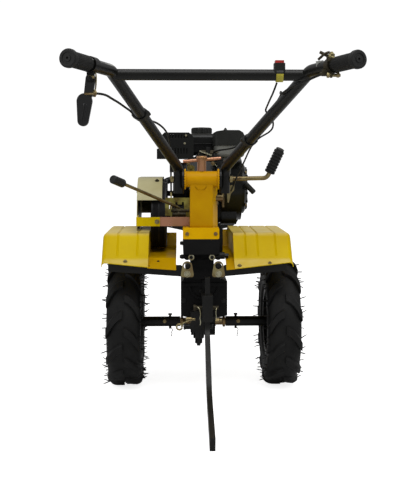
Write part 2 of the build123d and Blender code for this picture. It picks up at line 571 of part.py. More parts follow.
def fender(edges):
    """A pressed fender: an outer panel with grooves, a step and a pocket by the gearbox."""
    outer, step, inner, crest, grooves = edges
    side = 1 if outer > 0 else -1
    width = abs(outer - step)
    (crease_y, crease_z), (lip_y, lip_z) = FENDER_CREASE, FENDER_LIP
    split_y = crease_y + 9
    split_z = crease_z + 9 * (FENDER_TOP - crease_z) / (FENDER_BEND - crease_y)
    over = FilletPolyline((step, *FENDER_NOSE), (step, FENDER_FRONT, FENDER_TOP), (step, FENDER_BEND, FENDER_TOP),
                          (step, split_y, split_z), radius=30)
    lip = FilletPolyline((step, split_y, split_z), (step, *FENDER_CREASE), (step, *FENDER_LIP), radius=30)
    panel = None
    for path, pressed in ((over, grooves), (lip, ())):
        start = Plane(origin=path @ 0, x_dir=(side, 0, 0), z_dir=path % 0)
        face = fender_section(width, pressed)
        if start.y_dir.Z < 0:
            face = mirror(face, about=Plane.XZ)
        piece = sweep(start * face, path=path)
        panel = piece if panel is None else panel + piece

    low, high = min(step, inner), max(step, inner)
    nose_y, nose_z = FENDER_NOSE
    crest_y = FENDER_FRONT + (FENDER_TOP - crest) * (nose_y - FENDER_FRONT) / (FENDER_TOP - nose_z)
    line = [FENDER_NOSE, (crest_y, crest), (crest_y - 36, FENDER_PAN), (POCKET_BEND, FENDER_PAN), FENDER_LIP]
    upper = FilletPolyline(*line, radius=[10, 14, 20])
    lower = FilletPolyline(*[(y, z - SHEET) for y, z in line], radius=[8, 16, 22])
    pocket = side_plate(make_face(upper + Line(upper @ 1, lower @ 1) + lower + Line(lower @ 0, upper @ 0)),
                        low - 1, high + 1)
    wall_edge = Polygon((crest_y, crest - 3), (FENDER_FRONT - 2, FENDER_TOP - 4), (FENDER_BEND, FENDER_TOP - 4),
                        (crease_y, crease_z - 1), (lip_y + 1, lip_z - 1), (POCKET_BEND, FENDER_PAN - 1),
                        (crest_y - 36, FENDER_PAN - 1), align=None)
    wall = side_plate(wall_edge, min(step, step + side * SHEET), max(step, step + side * SHEET))
    wing = panel + pocket + wall
    # the rear lip runs up toward its outer corner, and the front corner is cut away
    rear = Polygon((inner, lip_y - 40), (inner, lip_y), (outer + side * 2, lip_y + 36), (outer + side * 2, lip_y - 40),
                   align=None)
    nose = Polygon((outer - side * 70, FENDER_FRONT + 80), (outer + side * 2, FENDER_FRONT - 40),
                   (outer + side * 2, FENDER_FRONT + 80), align=None)
    for trim in (rear, nose):
        wing -= Pos(0, 0, 380) * extrude(trim, amount=160, dir=(0, 0, 1))
    return wing


def sheet_under(start, end, y):
    """How high a piece may reach at y under a sheet whose upper face runs from start to end."""
    rise = (end[1] - start[1]) / (end[0] - start[0])
    return start[1] + (y - start[0]) * rise - SHEET * sqrt(1 + rise * rise) - SEAT


LUG_SHEET = 6
LUG_HOLE_Z, LUG_HOLE_RADIUS = 419.5, 10.5


def fender_lug(lug_x):
    """The tapered lug with its large open hole, bolted over the bar."""
    outline = round_hull((lug_x, LUG_HOLE_Z - 1, LUG_HOLE_RADIUS + 5), (lug_x - 13, LUG_Z - 3, 7),
                         (lug_x + 13, LUG_Z - 3, 7))
    y0, y1 = LUG_Y - 2 * LUG_SHEET, LUG_Y - LUG_SHEET
    hole = rod((lug_x, y0 - 1, LUG_HOLE_Z), (lug_x, y1 + 1, LUG_HOLE_Z), LUG_HOLE_RADIUS)
    return rear_plate(outline, y0, y1) - hole


def fender_bar(edges, lug_x):
    """The flat bar that runs out from the lug under the fender's pocket and lip."""
    outer, step = edges[:2]
    side = 1 if outer > 0 else -1
    y0, y1 = LUG_Y - LUG_SHEET, LUG_Y
    end_x = outer - side * (EDGE_RADIUS + 8)
    under_lip = sheet_under(FENDER_CREASE, FENDER_LIP, y0)
    under_pocket = sheet_under((POCKET_BEND, FENDER_PAN), FENDER_LIP, y0)
    shoulder = step + side * 3 * SHEET
    arm = Polygon((lug_x, LUG_Z - 10), (end_x, LUG_Z + 8), (end_x, under_lip), (shoulder, under_lip),
                  (shoulder, under_pocket), (lug_x + side * 20, under_pocket), (lug_x, LUG_Z + 10), align=None)
    return rear_plate(arm, y0, y1) + rod((lug_x, y0, LUG_Z), (lug_x, y1, LUG_Z), 10)


# ---------------------------------------------------------------- handlebar column
HEAD_RADIUS = 24.5
HEAD_HALF = 50
FLANGE_HEIGHT = 36
FLANGE_BOLT_X, FLANGE_BOLT_Z = 44.5, 517
TOOTH_RADIUS = 32
TOOTH_COUNT = 24
PIVOT_RADIUS = 6


def toothed_ring(x_base, x_face):
    """A disc whose face, at x_face, is cut with radial teeth."""
    low, high = min(x_base, x_face), max(x_base, x_face)
    ring = across(low, high, 0, 0, TOOTH_RADIUS)
    gap = Pos(x_face, 0, TOOTH_RADIUS - 5) * Box(3, 3.2, 14)
    for k in range(TOOTH_COUNT):
        ring -= Rot(k * 360 / TOOTH_COUNT, 0, 0) * gap
    return Pos(0, HINGE_Y, HINGE_Z) * ring


def column():
    """The cast post from the gearbox's flange up to the cross head."""
    flange_low = GEARBOX_TOP + SEAT
    flange = block(COLUMN_X - TOP_HALF - 1, COLUMN_X + TOP_HALF - 1, GEARBOX_REAR, -105, flange_low,
                   flange_low + FLANGE_HEIGHT)
    flange = fillet(flange.edges().filter_by(Axis.Y), 5)
    holes = [rod((COLUMN_X + side * FLANGE_BOLT_X, GEARBOX_REAR - 1, FLANGE_BOLT_Z),
                 (COLUMN_X + side * FLANGE_BOLT_X, GEARBOX_REAR + 25, FLANGE_BOLT_Z), 4) for side in (-1, 1)]
    crescent = Pos(COLUMN_X - 3, HINGE_Z - 19) * Circle(18) - Pos(COLUMN_X - 3, HINGE_Z - 14) * Circle(19)
    holes.append(rear_plate(crescent, -266, -244))
    foot = Polygon((-46, -196), (26, -196), (44, -118), (-46, -118), align=None)
    foot = Plane(origin=(0, 0, flange_low + FLANGE_HEIGHT - 1)) * foot
    neck = Polygon((-46, -256), (24, -256), (40, -196), (-46, -196), align=None)
    neck = Plane(origin=(0, 0, HINGE_Z - 8)) * neck
    post = loft([foot, neck])
    cast_head = across(COLUMN_X - HEAD_HALF, COLUMN_X + HEAD_HALF, HINGE_Y, HINGE_Z, HEAD_RADIUS)
    left, right = COLUMN_X - HEAD_HALF, COLUMN_X + HEAD_HALF
    crown = block(left, right, HINGE_Y - 10, HINGE_Y + 24, HINGE_Z, HINGE_Z + HEAD_RADIUS)
    body = flange + post + cast_head + crown
    for side in (-1, 1):
        body += toothed_ring(COLUMN_X + side * (HEAD_HALF - 1), COLUMN_X + side * (HEAD_HALF + 4))
    body -= across(-200, 200, HINGE_Y, HINGE_Z, PIVOT_RADIUS + RUN)
    body -= Pos(COLUMN_X, HINGE_Y + 2, HINGE_Z + HEAD_RADIUS) * Cylinder(SCREW_RADIUS + SEAT, 2 * SCREW_DEPTH)
    return body - holes


SCREW_RADIUS = 10
SCREW_DEPTH = 14


def clamp_screw():
    """The domed screw in the head with its cross bar."""
    base = HINGE_Z + HEAD_RADIUS + SEAT
    centre = (COLUMN_X, HINGE_Y + 2)
    shank = Pos(*centre, base - SCREW_DEPTH / 2 + 1) * Cylinder(SCREW_RADIUS, SCREW_DEPTH)
    body = Pos(*centre, base + 20) * Cylinder(14, 40)
    dome = Pos(*centre, base + 43) * Cylinder(17, 8)
    dome = fillet(dome.faces().sort_by(Axis.Z)[-1].edges(), 5)
    bar = rod((COLUMN_X - 58, HINGE_Y + 6, base + 30), (COLUMN_X + 60, HINGE_Y + 6, base + 40), 5)
    return shank + body + dome + bar


# ---------------------------------------------------------------- handlebar
TUBE_RADIUS = 16
TUBE_WALL = 3
LEG_SPREAD = HEAD_HALF + TUBE_RADIUS + 5    # middle of a leg's foot from the middle of the column
BEND_X, BEND_Y, BEND_Z = 252, -752, 972
CROSSBAR_Y, CROSSBAR_Z = -735, 963
CROSSBAR_RADIUS = 14.5
LEG_BENDS = [40, 60]
GRIP_LENGTH = 92
GRIP_RADIUS, GRIP_FLANGE = 18.5, 22.5


def leg_points(side):
    """The middle line of one leg: foot, lower bend, upper bend, grip end."""
    foot_x = COLUMN_X + side * LEG_SPREAD
    return [(foot_x, HINGE_Y, HINGE_Z - 44), (foot_x, HINGE_Y, HINGE_Z + 34),
            (side * BEND_X, BEND_Y, BEND_Z), (side * GRIP_SPREAD / 2, -REAR_REACH + 16, GRIP_HEIGHT)]


def along_grip(side, distance):
    """A point on the grip's line, that far in from the leg's end."""
    points = leg_points(side)
    end, bend = Vector(*points[3]), Vector(*points[2])
    inward = (bend - end).normalized()
    return end + inward * distance, inward


def handlebar_leg(side):
    """One bent tube, welded at its foot to a toothed disc."""
    leg = bent_bar(leg_points(side), LEG_BENDS, Circle(TUBE_RADIUS) - Circle(TUBE_RADIUS - TUBE_WALL))
    inner = COLUMN_X + side * (HEAD_HALF + 4 + SEAT)
    leg += toothed_ring(COLUMN_X + side * (LEG_SPREAD - 10), inner)
    leg -= across(-200, 200, HINGE_Y, HINGE_Z, PIVOT_RADIUS + SEAT)
    return leg


def crossbar():
    """The straight tube between the legs, cut to sit against them."""
    bar = across(-BEND_X + 4, BEND_X - 4, CROSSBAR_Y, CROSSBAR_Z, CROSSBAR_RADIUS)
    bar -= across(-BEND_X, BEND_X, CROSSBAR_Y, CROSSBAR_Z, CROSSBAR_RADIUS - TUBE_WALL)
    for side in (-1, 1):
        bar -= bent_bar(leg_points(side), LEG_BENDS, Circle(TUBE_RADIUS))
    return bar.solids().sort_by(SortBy.VOLUME)[-1]


def pivot_bolt():
    """The bolt through the head and both legs, with a nut on its left end."""
    reach = LEG_SPREAD + TUBE_RADIUS + SEAT
    shank = across(COLUMN_X - reach - 10, COLUMN_X + reach + 2, HINGE_Y, HINGE_Z, PIVOT_RADIUS)
    hexagon = Pos(HINGE_Y, HINGE_Z) * RegularPolygon(9.5, 6, major_radius=False)
    head = side_plate(hexagon, COLUMN_X + reach, COLUMN_X + reach + 8)
    nut = side_plate(hexagon, COLUMN_X - reach - 8, COLUMN_X - reach)
    return shank + head + nut


def grip(side):
    """A rubber grip with a rounded flange and a ringed end."""
    end, inward = along_grip(side, 0)
    plane = Plane(origin=end - inward * 4, z_dir=inward)
    body = extrude(plane * Circle(GRIP_RADIUS), amount=GRIP_LENGTH)
    flange = extrude(plane * Circle(GRIP_FLANGE), amount=15)
    flange = fillet(flange.edges().filter_by(GeomType.CIRCLE), 4)
    rings = extrude(plane * (Circle(14) - Circle(8)), amount=1.5) + extrude(plane * Circle(3), amount=3)
    bore_plane = Plane(origin=end - inward * SEAT, z_dir=inward)
    return body + flange - rings - extrude(bore_plane * Circle(TUBE_RADIUS + SEAT), amount=GRIP_LENGTH + 10)


LEVER_PIVOT = (-292, 942)
LEVER_FRONT, LEVER_REAR = -841, -853
LEVER_PIN_RADIUS = 3


def clutch_lever():
    """The hand lever that hangs under the left grip."""
    neck = rear_plate(round_hull((*LEVER_PIVOT, 12), (-297, 905, 11)), LEVER_REAR, LEVER_FRONT)
    blade = rear_plate(round_hull((-306.5, 888, 19), (-310, 841, 13.5)), LEVER_REAR - 3, LEVER_FRONT + 1)
    blade = fillet(blade.edges(), 3)
    pivot_x, pivot_z = LEVER_PIVOT
    hole = rod((pivot_x, LEVER_REAR - 5, pivot_z), (pivot_x, LEVER_FRONT + 5, pivot_z), LEVER_PIN_RADIUS + RUN)
    return neck + blade - hole


def clutch_bracket():
    """The clamp round the left tube, with two ears and the hand lever's pin."""
    centre, inward = along_grip(-1, GRIP_LENGTH + 22)
    plane = Plane(origin=centre, z_dir=inward)
    ring = extrude(plane * Circle(TUBE_RADIUS + 4), amount=12, both=True)
    pivot_x, pivot_z = LEVER_PIVOT
    for low in (LEVER_REAR - SEAT - 3, LEVER_FRONT + SEAT):
        ring += block(pivot_x - 9, pivot_x + 9, low, low + 3, pivot_z - 9, pivot_z + 22)
    rear, front = LEVER_REAR - SEAT - 3, LEVER_FRONT + SEAT + 3
    ring += block(pivot_x - 9, pivot_x + 9, rear, front, pivot_z + 15, pivot_z + 22)
    ring += rod((pivot_x, LEVER_REAR - 5, pivot_z), (pivot_x, LEVER_FRONT + 5, pivot_z), LEVER_PIN_RADIUS)
    return ring - extrude(plane * Circle(TUBE_RADIUS + SEAT), amount=40, both=True)


def throttle_lever():
    """The throttle's clamp on the right tube, its thumb lever and the cable's stop."""
    centre, inward = along_grip(1, GRIP_LENGTH + 22)
    plane = Plane(origin=centre, z_dir=inward)
    stand = centre + Vector(-4, 0, TUBE_RADIUS + 4)
    lever = rod(stand, stand + Vector(-24, 10, 14), 4)
    ring = extrude(plane * Circle(TUBE_RADIUS + 4), amount=9, both=True)
    ring += Pos(*stand) * Box(18, 16, 12)
    ring += block(266, 282, -856, THROTTLE_STOP_Y, 950, 966)
    return ring + lever - extrude(plane * Circle(TUBE_RADIUS + SEAT), amount=30, both=True)


THROTTLE_STOP_Y = -842      # face that the throttle cable comes out of


def stop_switch():
    """The engine's stop switch, clamped on the crossbar."""
    x0, x1 = 161, 189
    body = block(x0, x1, CROSSBAR_Y - 15, CROSSBAR_Y + 15, CROSSBAR_Z + 2, CROSSBAR_Z + 30)
    body = fillet(body.edges().filter_by(Axis.Z), 4)
    body -= across(x0 - 1, x1 + 1, CROSSBAR_Y, CROSSBAR_Z, CROSSBAR_RADIUS + SEAT)
    clamp = across(x0 + 5, x1 - 5, CROSSBAR_Y, CROSSBAR_Z, 18)
    clamp -= across(x0, x1, CROSSBAR_Y, CROSSBAR_Z, CROSSBAR_RADIUS + SEAT)
    button = block(x0 + 3, x1 - 3, CROSSBAR_Y - 11, CROSSBAR_Y + 11, CROSSBAR_Z + 29, CROSSBAR_Z + 37)
    return body + clamp + button


# ---------------------------------------------------------------- hand levers on the gearbox
def shift_gate():
    """The slotted plate that the gear lever moves in, on its foot."""
    plate = block(-125, -46, -101, -98, 568, 626)
    plate -= block(-112, -64, -110, -90, 590, 604)
    plate -= [block(x, x + 7, -110, -90, 603, 612) for x in (-112, -92, -71)]
    leg = block(-66, -48, -101, -98, GEARBOX_TOP + SEAT, 570)
    foot = block(-66, -48, -101, -60, GEARBOX_TOP + SEAT, GEARBOX_TOP + SEAT + 3)
    return plate + leg + foot


def gear_lever():
    """The gear lever's rod, through the gate and down to the shift shaft."""
    points = [(-246, -326, 677), (-88, -97, 597), (-70, -40, 580), (-46.5, -2, 572)]
    return bent_bar(points, [20, 20], Circle(5))


def gear_knob():
    """The black knob on the gear lever."""
    start, end = Vector(-246.3, -326.4, 677.2), Vector(-276, -369, 692)
    knob = rod(start, end, 13)
    return fillet(knob.edges(), 5)


SIDE_GRIP_START = Vector(205, -190, 709)
SIDE_GRIP_AXIS = Vector(31, -24, 72).normalized()
SIDE_GRIP_LENGTH = 84


def side_lever():
    """The right hand lever's rod, from its bracket on the column out and up to the grip."""
    corner = SIDE_GRIP_START - SIDE_GRIP_AXIS * 20
    shaft = bent_bar([(60, -150, 688), corner, SIDE_GRIP_START], [20], Circle(7))
    outline = Polygon((-196, 600), (-150, 600), (-136, 700), (-160, 704), (-176, 660), align=None)
    plate = side_plate(outline, 56, 62)
    boss = across(20, 58, -182, 628, 10) - column()
    return shaft + plate + boss


def side_lever_grip():
    """The ribbed rubber grip on the right hand lever."""
    plane = Plane(origin=SIDE_GRIP_START + SIDE_GRIP_AXIS * SEAT, z_dir=SIDE_GRIP_AXIS)
    body = extrude(plane * Circle(13), amount=SIDE_GRIP_LENGTH)
    body += [extrude(plane.offset(1 + k * 10) * Circle(16.5), amount=5) for k in range(8)]
    return body


# ---------------------------------------------------------------- hitch and depth bar
BAR_X = 6
BAR_THICK = 15
BAR_WIDTH = 36
BAR_Y = -280                # middle of the bar's upright part
HITCH_FRONT = BLOCK_REAR - 9 - SEAT
HITCH_PIN_RADIUS, HITCH_PIN_Z = 6, 298
TIP_Y, TIP_RUN = -715, 250
TIP_SLOPE = 12              # degrees off the floor at the tip


def depth_bar():
    """The curved bar that drags behind the wheels, resting on its tip."""
    tip_z = FLOOR_Z + BAR_WIDTH / 2 * cos(radians(TIP_SLOPE))
    slope = radians(TIP_SLOPE)
    heel = (BAR_X, TIP_Y + TIP_RUN * cos(slope), tip_z + TIP_RUN * sin(slope))
    points = [(BAR_X, BAR_Y, 390), (BAR_X, BAR_Y, 224), heel, (BAR_X, TIP_Y, tip_z)]
    bar = bent_bar(points, [70, 160], Rectangle(BAR_THICK, BAR_WIDTH))
    holes = [across(BAR_X - 20, BAR_X + 20, BAR_Y, z, HITCH_PIN_RADIUS + SEAT) for z in (HITCH_PIN_Z, 372)]
    return bar - holes


def hitch_bracket():
    """The socket behind the gearbox that holds the depth bar."""
    y0, y1 = BAR_Y - BAR_WIDTH / 2 - SEAT, BAR_Y + BAR_WIDTH / 2 + SEAT
    x0, x1 = BAR_X - BAR_THICK / 2 - SEAT, BAR_X + BAR_THICK / 2 + SEAT
    socket = block(x0 - 8, x1 + 8, y0 - 8, y1 + 8, 258, 338)
    socket -= block(x0, x1, y0, y1, 240, 350)
    socket -= across(x0 - 20, x1 + 20, BAR_Y, HITCH_PIN_Z, HITCH_PIN_RADIUS + SEAT)
    arm = block(x0 - 8, x1 + 8, y1 + 7, HITCH_FRONT, 262, 326)
    lower = block(-44, 4, -200, HITCH_FRONT, 208, 272)
    return socket + arm + lower


def hitch_pin():
    """The pin across the socket, with a head on its left end."""
    pin = across(-30, BAR_X + 34, BAR_Y, HITCH_PIN_Z, HITCH_PIN_RADIUS)
    return pin + across(-36, -29, BAR_Y, HITCH_PIN_Z, 10)


# ---------------------------------------------------------------- cables
def cable(name, points, diameter):
    """A round cable: straight runs joined by arcs as large as the runs allow."""
    radii = []
    for before, corner, after in zip(points, points[1:], points[2:]):
        arriving, leaving = Vector(*corner) - Vector(*before), Vector(*after) - Vector(*corner)
        turn = radians(arriving.get_angle(leaving))
        radii.append(0.45 * min(arriving.length, leaving.length) / tan(turn / 2))
    print(name, "bend radii", [round(radius) for radius in radii])
    return bent_bar(points, radii, Circle(diameter / 2))


def leg_direction(side):
    """The line from a leg's lower bend up to its upper bend."""
    lower, upper = leg_points(side)[1:3]
    return (Vector(*upper) - Vector(*lower)).normalized()


def leg_at(side, y):
    """The middle of a leg's straight run where it crosses y."""
    lower = Vector(*leg_points(side)[1])
    along = leg_direction(side)
    return lower + along * ((y - lower.Y) / along.Y)


CABLE, WIRE = 6, 5          # diameters
CLIP_LEFT_Y, CLIP_RIGHT_Y = -545, -405


def clipped(side, y, diameter):
    """Where a cable lies in its clip, at the outer side of the leg."""
    along = leg_direction(side)
    outward = (Vector(side, 0, 0) - along * (side * along.X)).normalized()
    return leg_at(side, y) + outward * (TUBE_RADIUS + diameter / 2 + 1.5)


def cable_clip(side, y, diameter):
    """A plastic clip round the leg and the cable beside it."""
    centre, held = leg_at(side, y), clipped(side, y, diameter)
    outward = (held - centre).normalized()
    plane = Plane(origin=centre, x_dir=outward, z_dir=leg_direction(side))
    reach = (held - centre).length
    outline = make_hull((Circle(TUBE_RADIUS + 3).edges() + (Pos(reach, 0) * Circle(diameter / 2 + 3)).edges()
                         + (Pos(-TUBE_RADIUS - 6, 0) * Circle(4)).edges()))
    clip = extrude(plane * outline, amount=6, both=True)
    clip -= extrude(plane * Circle(TUBE_RADIUS + SEAT), amount=8, both=True)
    return clip - extrude(plane * Pos(reach, 0) * Circle(diameter / 2 + 0.7), amount=8, both=True)


def clutch_cable():
    """From the hand lever, through its clip and over the left leg, to the bell crank."""
    held, along = clipped(-1, CLIP_LEFT_Y, CABLE), leg_direction(-1)
    before, after = held + along * 24, held - along * 24
    points = [(-283, -847, 907), (-268.5, -831, 907), (-258, -798, 906), (-250, -740, 902), (-238, -675, 897),
              (-224, -610, 888), tuple(before), tuple(after), (-187, -490, 862), (-163, -455, 860),
              (-147, -400, 857), (-137, -340, 852), (-128, -282, 846), (-121, -228, 838), (-115, -175, 827),
              (-111, -125, 812), (-108, -82, 790), (-107, -55, 757), (-107, -35, 722), (-107, -12, 690),
              (-107, 16, 668.5), (-107, HORN_Y - 6.3, HORN_Z + 5.7)]
    return cable("clutch_cable", points, CABLE)


def throttle_cable():
    """From the throttle's clamp, under the crossbar and behind the right leg, to the carburettor."""
    points = [(272, THROTTLE_STOP_Y + 1.4, 957), (259, -800, 954), (243, -768, 947), (222, -735, 940),
              (206, -695, 934), (187, -650, 919), (192, -617, 932), (199, -580, 926), (186, -525, 900),
              (168, -460, 876), (150, -385, 853), (137, -310, 833), (126, -235, 814), (116, -162, 799),
              (103, -92, 790), (84, -32, 785), (62, 20, 783), (44, 68, 779), (36, 115, 774)]
    return cable("throttle_cable", points, CABLE)


def stop_wire():
    """From the stop switch over the right leg, through its clip, to the fan's housing."""
    held, along = clipped(1, CLIP_RIGHT_Y, WIRE), leg_direction(1)
    before, after = held + along * 22, held - along * 22
    points = [(168.5, -735, 943.3), (162, -722, 922), (158, -670, 906), (157, -610, 894), (157, -566, 887),
              (160, -525, 882), (178, -495, 872), (189, -474, 850), (184, -450, 830), tuple(before),
              tuple(after), (128, -345, 775), (120, -310, 751), (110, -275, 724), (100, -242, 700),
              (92, -205, 672), (86, -160, 650), (84, -105, 640), (84, -45, 643), (86, 15, 655), (88, 70, 668),
              (90, 125, 680), (90, 186, 694)]
    return cable("stop_wire", points, WIRE)


# ---------------------------------------------------------------- writing out
def build():
    """Every piece by its node's name."""
    return {
        "gearbox": gearbox(),
        "engine_rails": engine_rails(),
        "front_bumper": front_bumper(),
        "engine_block": engine_block(),
        "rocker_cover": rocker_cover(),
        "fan_shroud": fan_shroud(),
        "recoil_cover": recoil_cover(),
        "starter_grip": starter_grip(),
        "fuel_tank": fuel_tank(),
        "fuel_cap": fuel_cap(),
        "air_cleaner": air_cleaner(),
        "air_cleaner_base": air_cleaner_base(),
        "muffler": muffler(),
        "muffler_guard": muffler_guard(),
        "engine_pulley": pulley(CRANK_Y, CRANK_Z, SMALL_RADIUS, 10 + SEAT),
        "gearbox_pulley": pulley(GEARBOX_SHAFT_Y, GEARBOX_SHAFT_Z, BIG_RADIUS, 12.5 + SEAT),
        "drive_belts": drive_belts(),
        "belt_tensioner": belt_tensioner(),
        "tension_roller": tension_roller(),
        "belt_guard": belt_guard(),
        "guard_foot": guard_foot(),
        "guard_strap": guard_strap(),
        "fender_left": fender(FENDER_LEFT),
        "fender_right": fender(FENDER_RIGHT),
        "fender_bar_left": fender_bar(FENDER_LEFT, LUG_XS[0]),
        "fender_bar_right": fender_bar(FENDER_RIGHT, LUG_XS[1]),
        "fender_bracket_left": fender_lug(LUG_XS[0]),
        "fender_bracket_right": fender_lug(LUG_XS[1]),
        "handlebar_column": column(),
        "clamp_screw": clamp_screw(),
        "handlebar_left": handlebar_leg(-1),
        "handlebar_right": handlebar_leg(1),
        "crossbar": crossbar(),
        "pivot_bolt": pivot_bolt(),
        "grip_left": grip(-1),
        "grip_right": grip(1),
        "clutch_lever": clutch_lever(),
        "clutch_bracket": clutch_bracket(),
        "throttle_lever": throttle_lever(),
        "stop_switch": stop_switch(),
        "shift_gate": shift_gate(),
        "gear_lever": gear_lever(),
        "gear_knob": gear_knob(),
        "side_lever": side_lever(),
        "side_lever_grip": side_lever_grip(),
        "cable_clip_left": cable_clip(-1, CLIP_LEFT_Y, CABLE),
        "cable_clip_right": cable_clip(1, CLIP_RIGHT_Y, WIRE),
        "clutch_cable": clutch_cable(),
        "throttle_cable": throttle_cable(),
        "stop_wire": stop_wire(),
        "hitch_bracket": hitch_bracket(),
        "hitch_pin": hitch_pin(),
        "depth_bar": depth_bar(),
        "hex_axle": hex_axle(),
        "hub_pins": hub_pins(),
        "rim_left": rim(-1),
        "rim_right": rim(1),
        "tyre_left": tyre(-1),
        "tyre_right": tyre(1),
    }


os.makedirs("parts", exist_ok=True)
for name, shape in build().items():
    export_step(Pos(0, -MIDDLE_Y, -FLOOR_Z) * shape, f"parts/{name}.step")
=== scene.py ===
# %% [markdown]
# # Dressing a two-wheel hand tractor
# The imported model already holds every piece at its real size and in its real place. This
# lesson gives each piece its finish and adds what is too fine for the solids: tread, bolts,
# cables, springs and clips. Blender works in metres here, +Y is the way the machine drives,
# +X is its right side and +Z is up.

# %% Load the model as a fixed frame
import json
from math import cos, pi, radians, sin, sqrt, tau

import bmesh
import bpy
from mathutils import Matrix, Vector


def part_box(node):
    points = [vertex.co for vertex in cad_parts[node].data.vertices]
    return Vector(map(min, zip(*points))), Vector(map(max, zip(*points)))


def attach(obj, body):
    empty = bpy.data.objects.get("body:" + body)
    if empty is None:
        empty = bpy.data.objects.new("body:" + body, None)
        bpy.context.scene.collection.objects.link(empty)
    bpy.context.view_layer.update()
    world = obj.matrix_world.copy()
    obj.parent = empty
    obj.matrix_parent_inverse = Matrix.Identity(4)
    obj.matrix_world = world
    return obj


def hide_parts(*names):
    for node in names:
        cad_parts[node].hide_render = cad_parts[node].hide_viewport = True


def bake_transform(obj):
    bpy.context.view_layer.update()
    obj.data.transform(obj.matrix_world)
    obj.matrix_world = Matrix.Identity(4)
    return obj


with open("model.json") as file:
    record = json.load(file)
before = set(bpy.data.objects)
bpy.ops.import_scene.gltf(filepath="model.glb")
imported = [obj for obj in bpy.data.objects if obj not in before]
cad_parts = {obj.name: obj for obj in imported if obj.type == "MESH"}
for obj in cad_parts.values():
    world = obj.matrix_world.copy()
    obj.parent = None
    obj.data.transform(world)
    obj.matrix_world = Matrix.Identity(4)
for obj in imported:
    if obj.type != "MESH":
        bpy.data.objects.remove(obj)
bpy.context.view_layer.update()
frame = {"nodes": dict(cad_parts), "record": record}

NODES = frame["nodes"]


# %% [markdown]
# ## Places
# A workshop drawing gives places in millimetres from the floor under the middle of the axle,
# so the places below are written that way too. `at` turns such a place into the frame's
# metres, with the axle where the model's own box says it is.

# %% Places that later cells measure from
def middle(node):
    """The middle of a node's box."""
    low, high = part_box(node)
    return (low + high) / 2


AXLE = middle("hex_axle")
BACK, FORE, LEFT, RIGHT, UP = (0, -1, 0), (0, 1, 0), (-1, 0, 0), (1, 0, 0), (0, 0, 1)


def at(x, y, z):
    """A place in millimetres from the floor under the axle's middle."""
    return Vector((AXLE.x + x / 1000, AXLE.y + y / 1000, z / 1000))


print("axle", tuple(round(v, 4) for v in AXLE))

# %% [markdown]
# ## Camera
# The machine is seen from behind, a little to the left of its middle, by someone holding
# the camera lower than the handlebar. A long lens keeps the proportions calm.
# The camera is level, so upright edges stay upright, and the frame is moved down by the
# lens shift instead of by tilting.

# %% Camera
CAMERA_PLACE = at(-80, -3000, 742)
CAMERA_TURN = radians(1.92)
LENS, LENS_DROP, SENSOR_WIDTH = 64.3, 0.176, 36


def added(name, data):
    """A new object in the scene."""
    made = bpy.data.objects.new(name, data)
    bpy.context.scene.collection.objects.link(made)
    return made


lens = bpy.data.cameras.new("camera")
lens.lens = LENS
lens.sensor_width = SENSOR_WIDTH
lens.shift_y = -LENS_DROP
camera = added("camera", lens)
camera.location = CAMERA_PLACE
camera.rotation_euler = (pi / 2, 0, -CAMERA_TURN)
bpy.context.scene.camera = camera
bpy.context.scene.view_settings.view_transform = "Standard"
print("camera at", tuple(round(v, 3) for v in camera.location))


# %% [markdown]
# ## Making objects and nodes from a script
# A few small helpers carry the whole lesson. `put` turns a mesh into an object that rides on
# a body. `place` adds one node to a tree, and `feed` fills a node's inputs, each with a
# constant or with the output that it is wired to. `group_tree` starts a node group whose
# inputs and outputs have names. The others are short ways to place the nodes that nearly
# every tree needs.

# %% Objects and plain meshes
def put(name, mesh, finish, slot, body=None):
    """A finished piece at the origin, with its place in its mesh."""
    made = added(name, mesh)
    mesh.materials.clear()
    mesh.materials.append(finish)
    if body:
        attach(made, body)
    return made


def plain_mesh(data):
    """What a curve, or an object with modifiers, looks like as a plain mesh."""
    source = added("working", data) if isinstance(data, bpy.types.Curve) else data
    graph = bpy.context.evaluated_depsgraph_get()
    mesh = bpy.data.meshes.new_from_object(source.evaluated_get(graph))
    bpy.data.objects.remove(source)
    return mesh


# %% Nodes and groups
def feed(tree, node, values):
    """Fills inputs of a node: each value is a constant or the output that feeds that input."""
    for key, value in dict(values).items():
        if isinstance(value, bpy.types.NodeSocket):
            tree.links.new(value, node.inputs[key])
        else:
            node.inputs[key].default_value = value
    return node


def place(tree, kind, values=(), **options):
    """Adds a node with its options and fills its inputs."""
    made = tree.nodes.new(kind)
    for option, setting in options.items():
        setattr(made, option, setting)
    return feed(tree, made, values)


def group_tree(name, kind, inputs, outputs):
    """An empty node group with named sockets, and the sockets of its two end nodes."""
    tree = bpy.data.node_groups.new(name, kind)
    for label, socket, start in inputs:
        made = tree.interface.new_socket(label, in_out="INPUT", socket_type="NodeSocket" + socket)
        if start is not None:
            made.default_value = start
    for label, socket in outputs:
        tree.interface.new_socket(label, in_out="OUTPUT", socket_type="NodeSocket" + socket)
    return tree, tree.nodes.new("NodeGroupInput").outputs, tree.nodes.new("NodeGroupOutput").inputs


def maths(tree, operation, *values):
    """The result of a Math node."""
    return place(tree, "ShaderNodeMath", enumerate(values), operation=operation).outputs[0]


def vector_of(tree, x=0.0, y=0.0, z=0.0):
    """Three numbers as a vector."""
    return place(tree, "ShaderNodeCombineXYZ", {"X": x, "Y": y, "Z": z}).outputs[0]


def ranged(tree, value, low, high, to_low=0.0, to_high=1.0):
    """A value taken from one range to another."""
    return place(tree, "ShaderNodeMapRange", {"Value": value, "From Min": low, "From Max": high,
                                              "To Min": to_low, "To Max": to_high}).outputs[0]


def noise(tree, scale, detail):
    """Noise over the piece's own metres."""
    where = place(tree, "ShaderNodeTexCoord").outputs["Object"]
    return place(tree, "ShaderNodeTexNoise", {"Vector": where, "Scale": scale, "Detail": detail}).outputs[0]


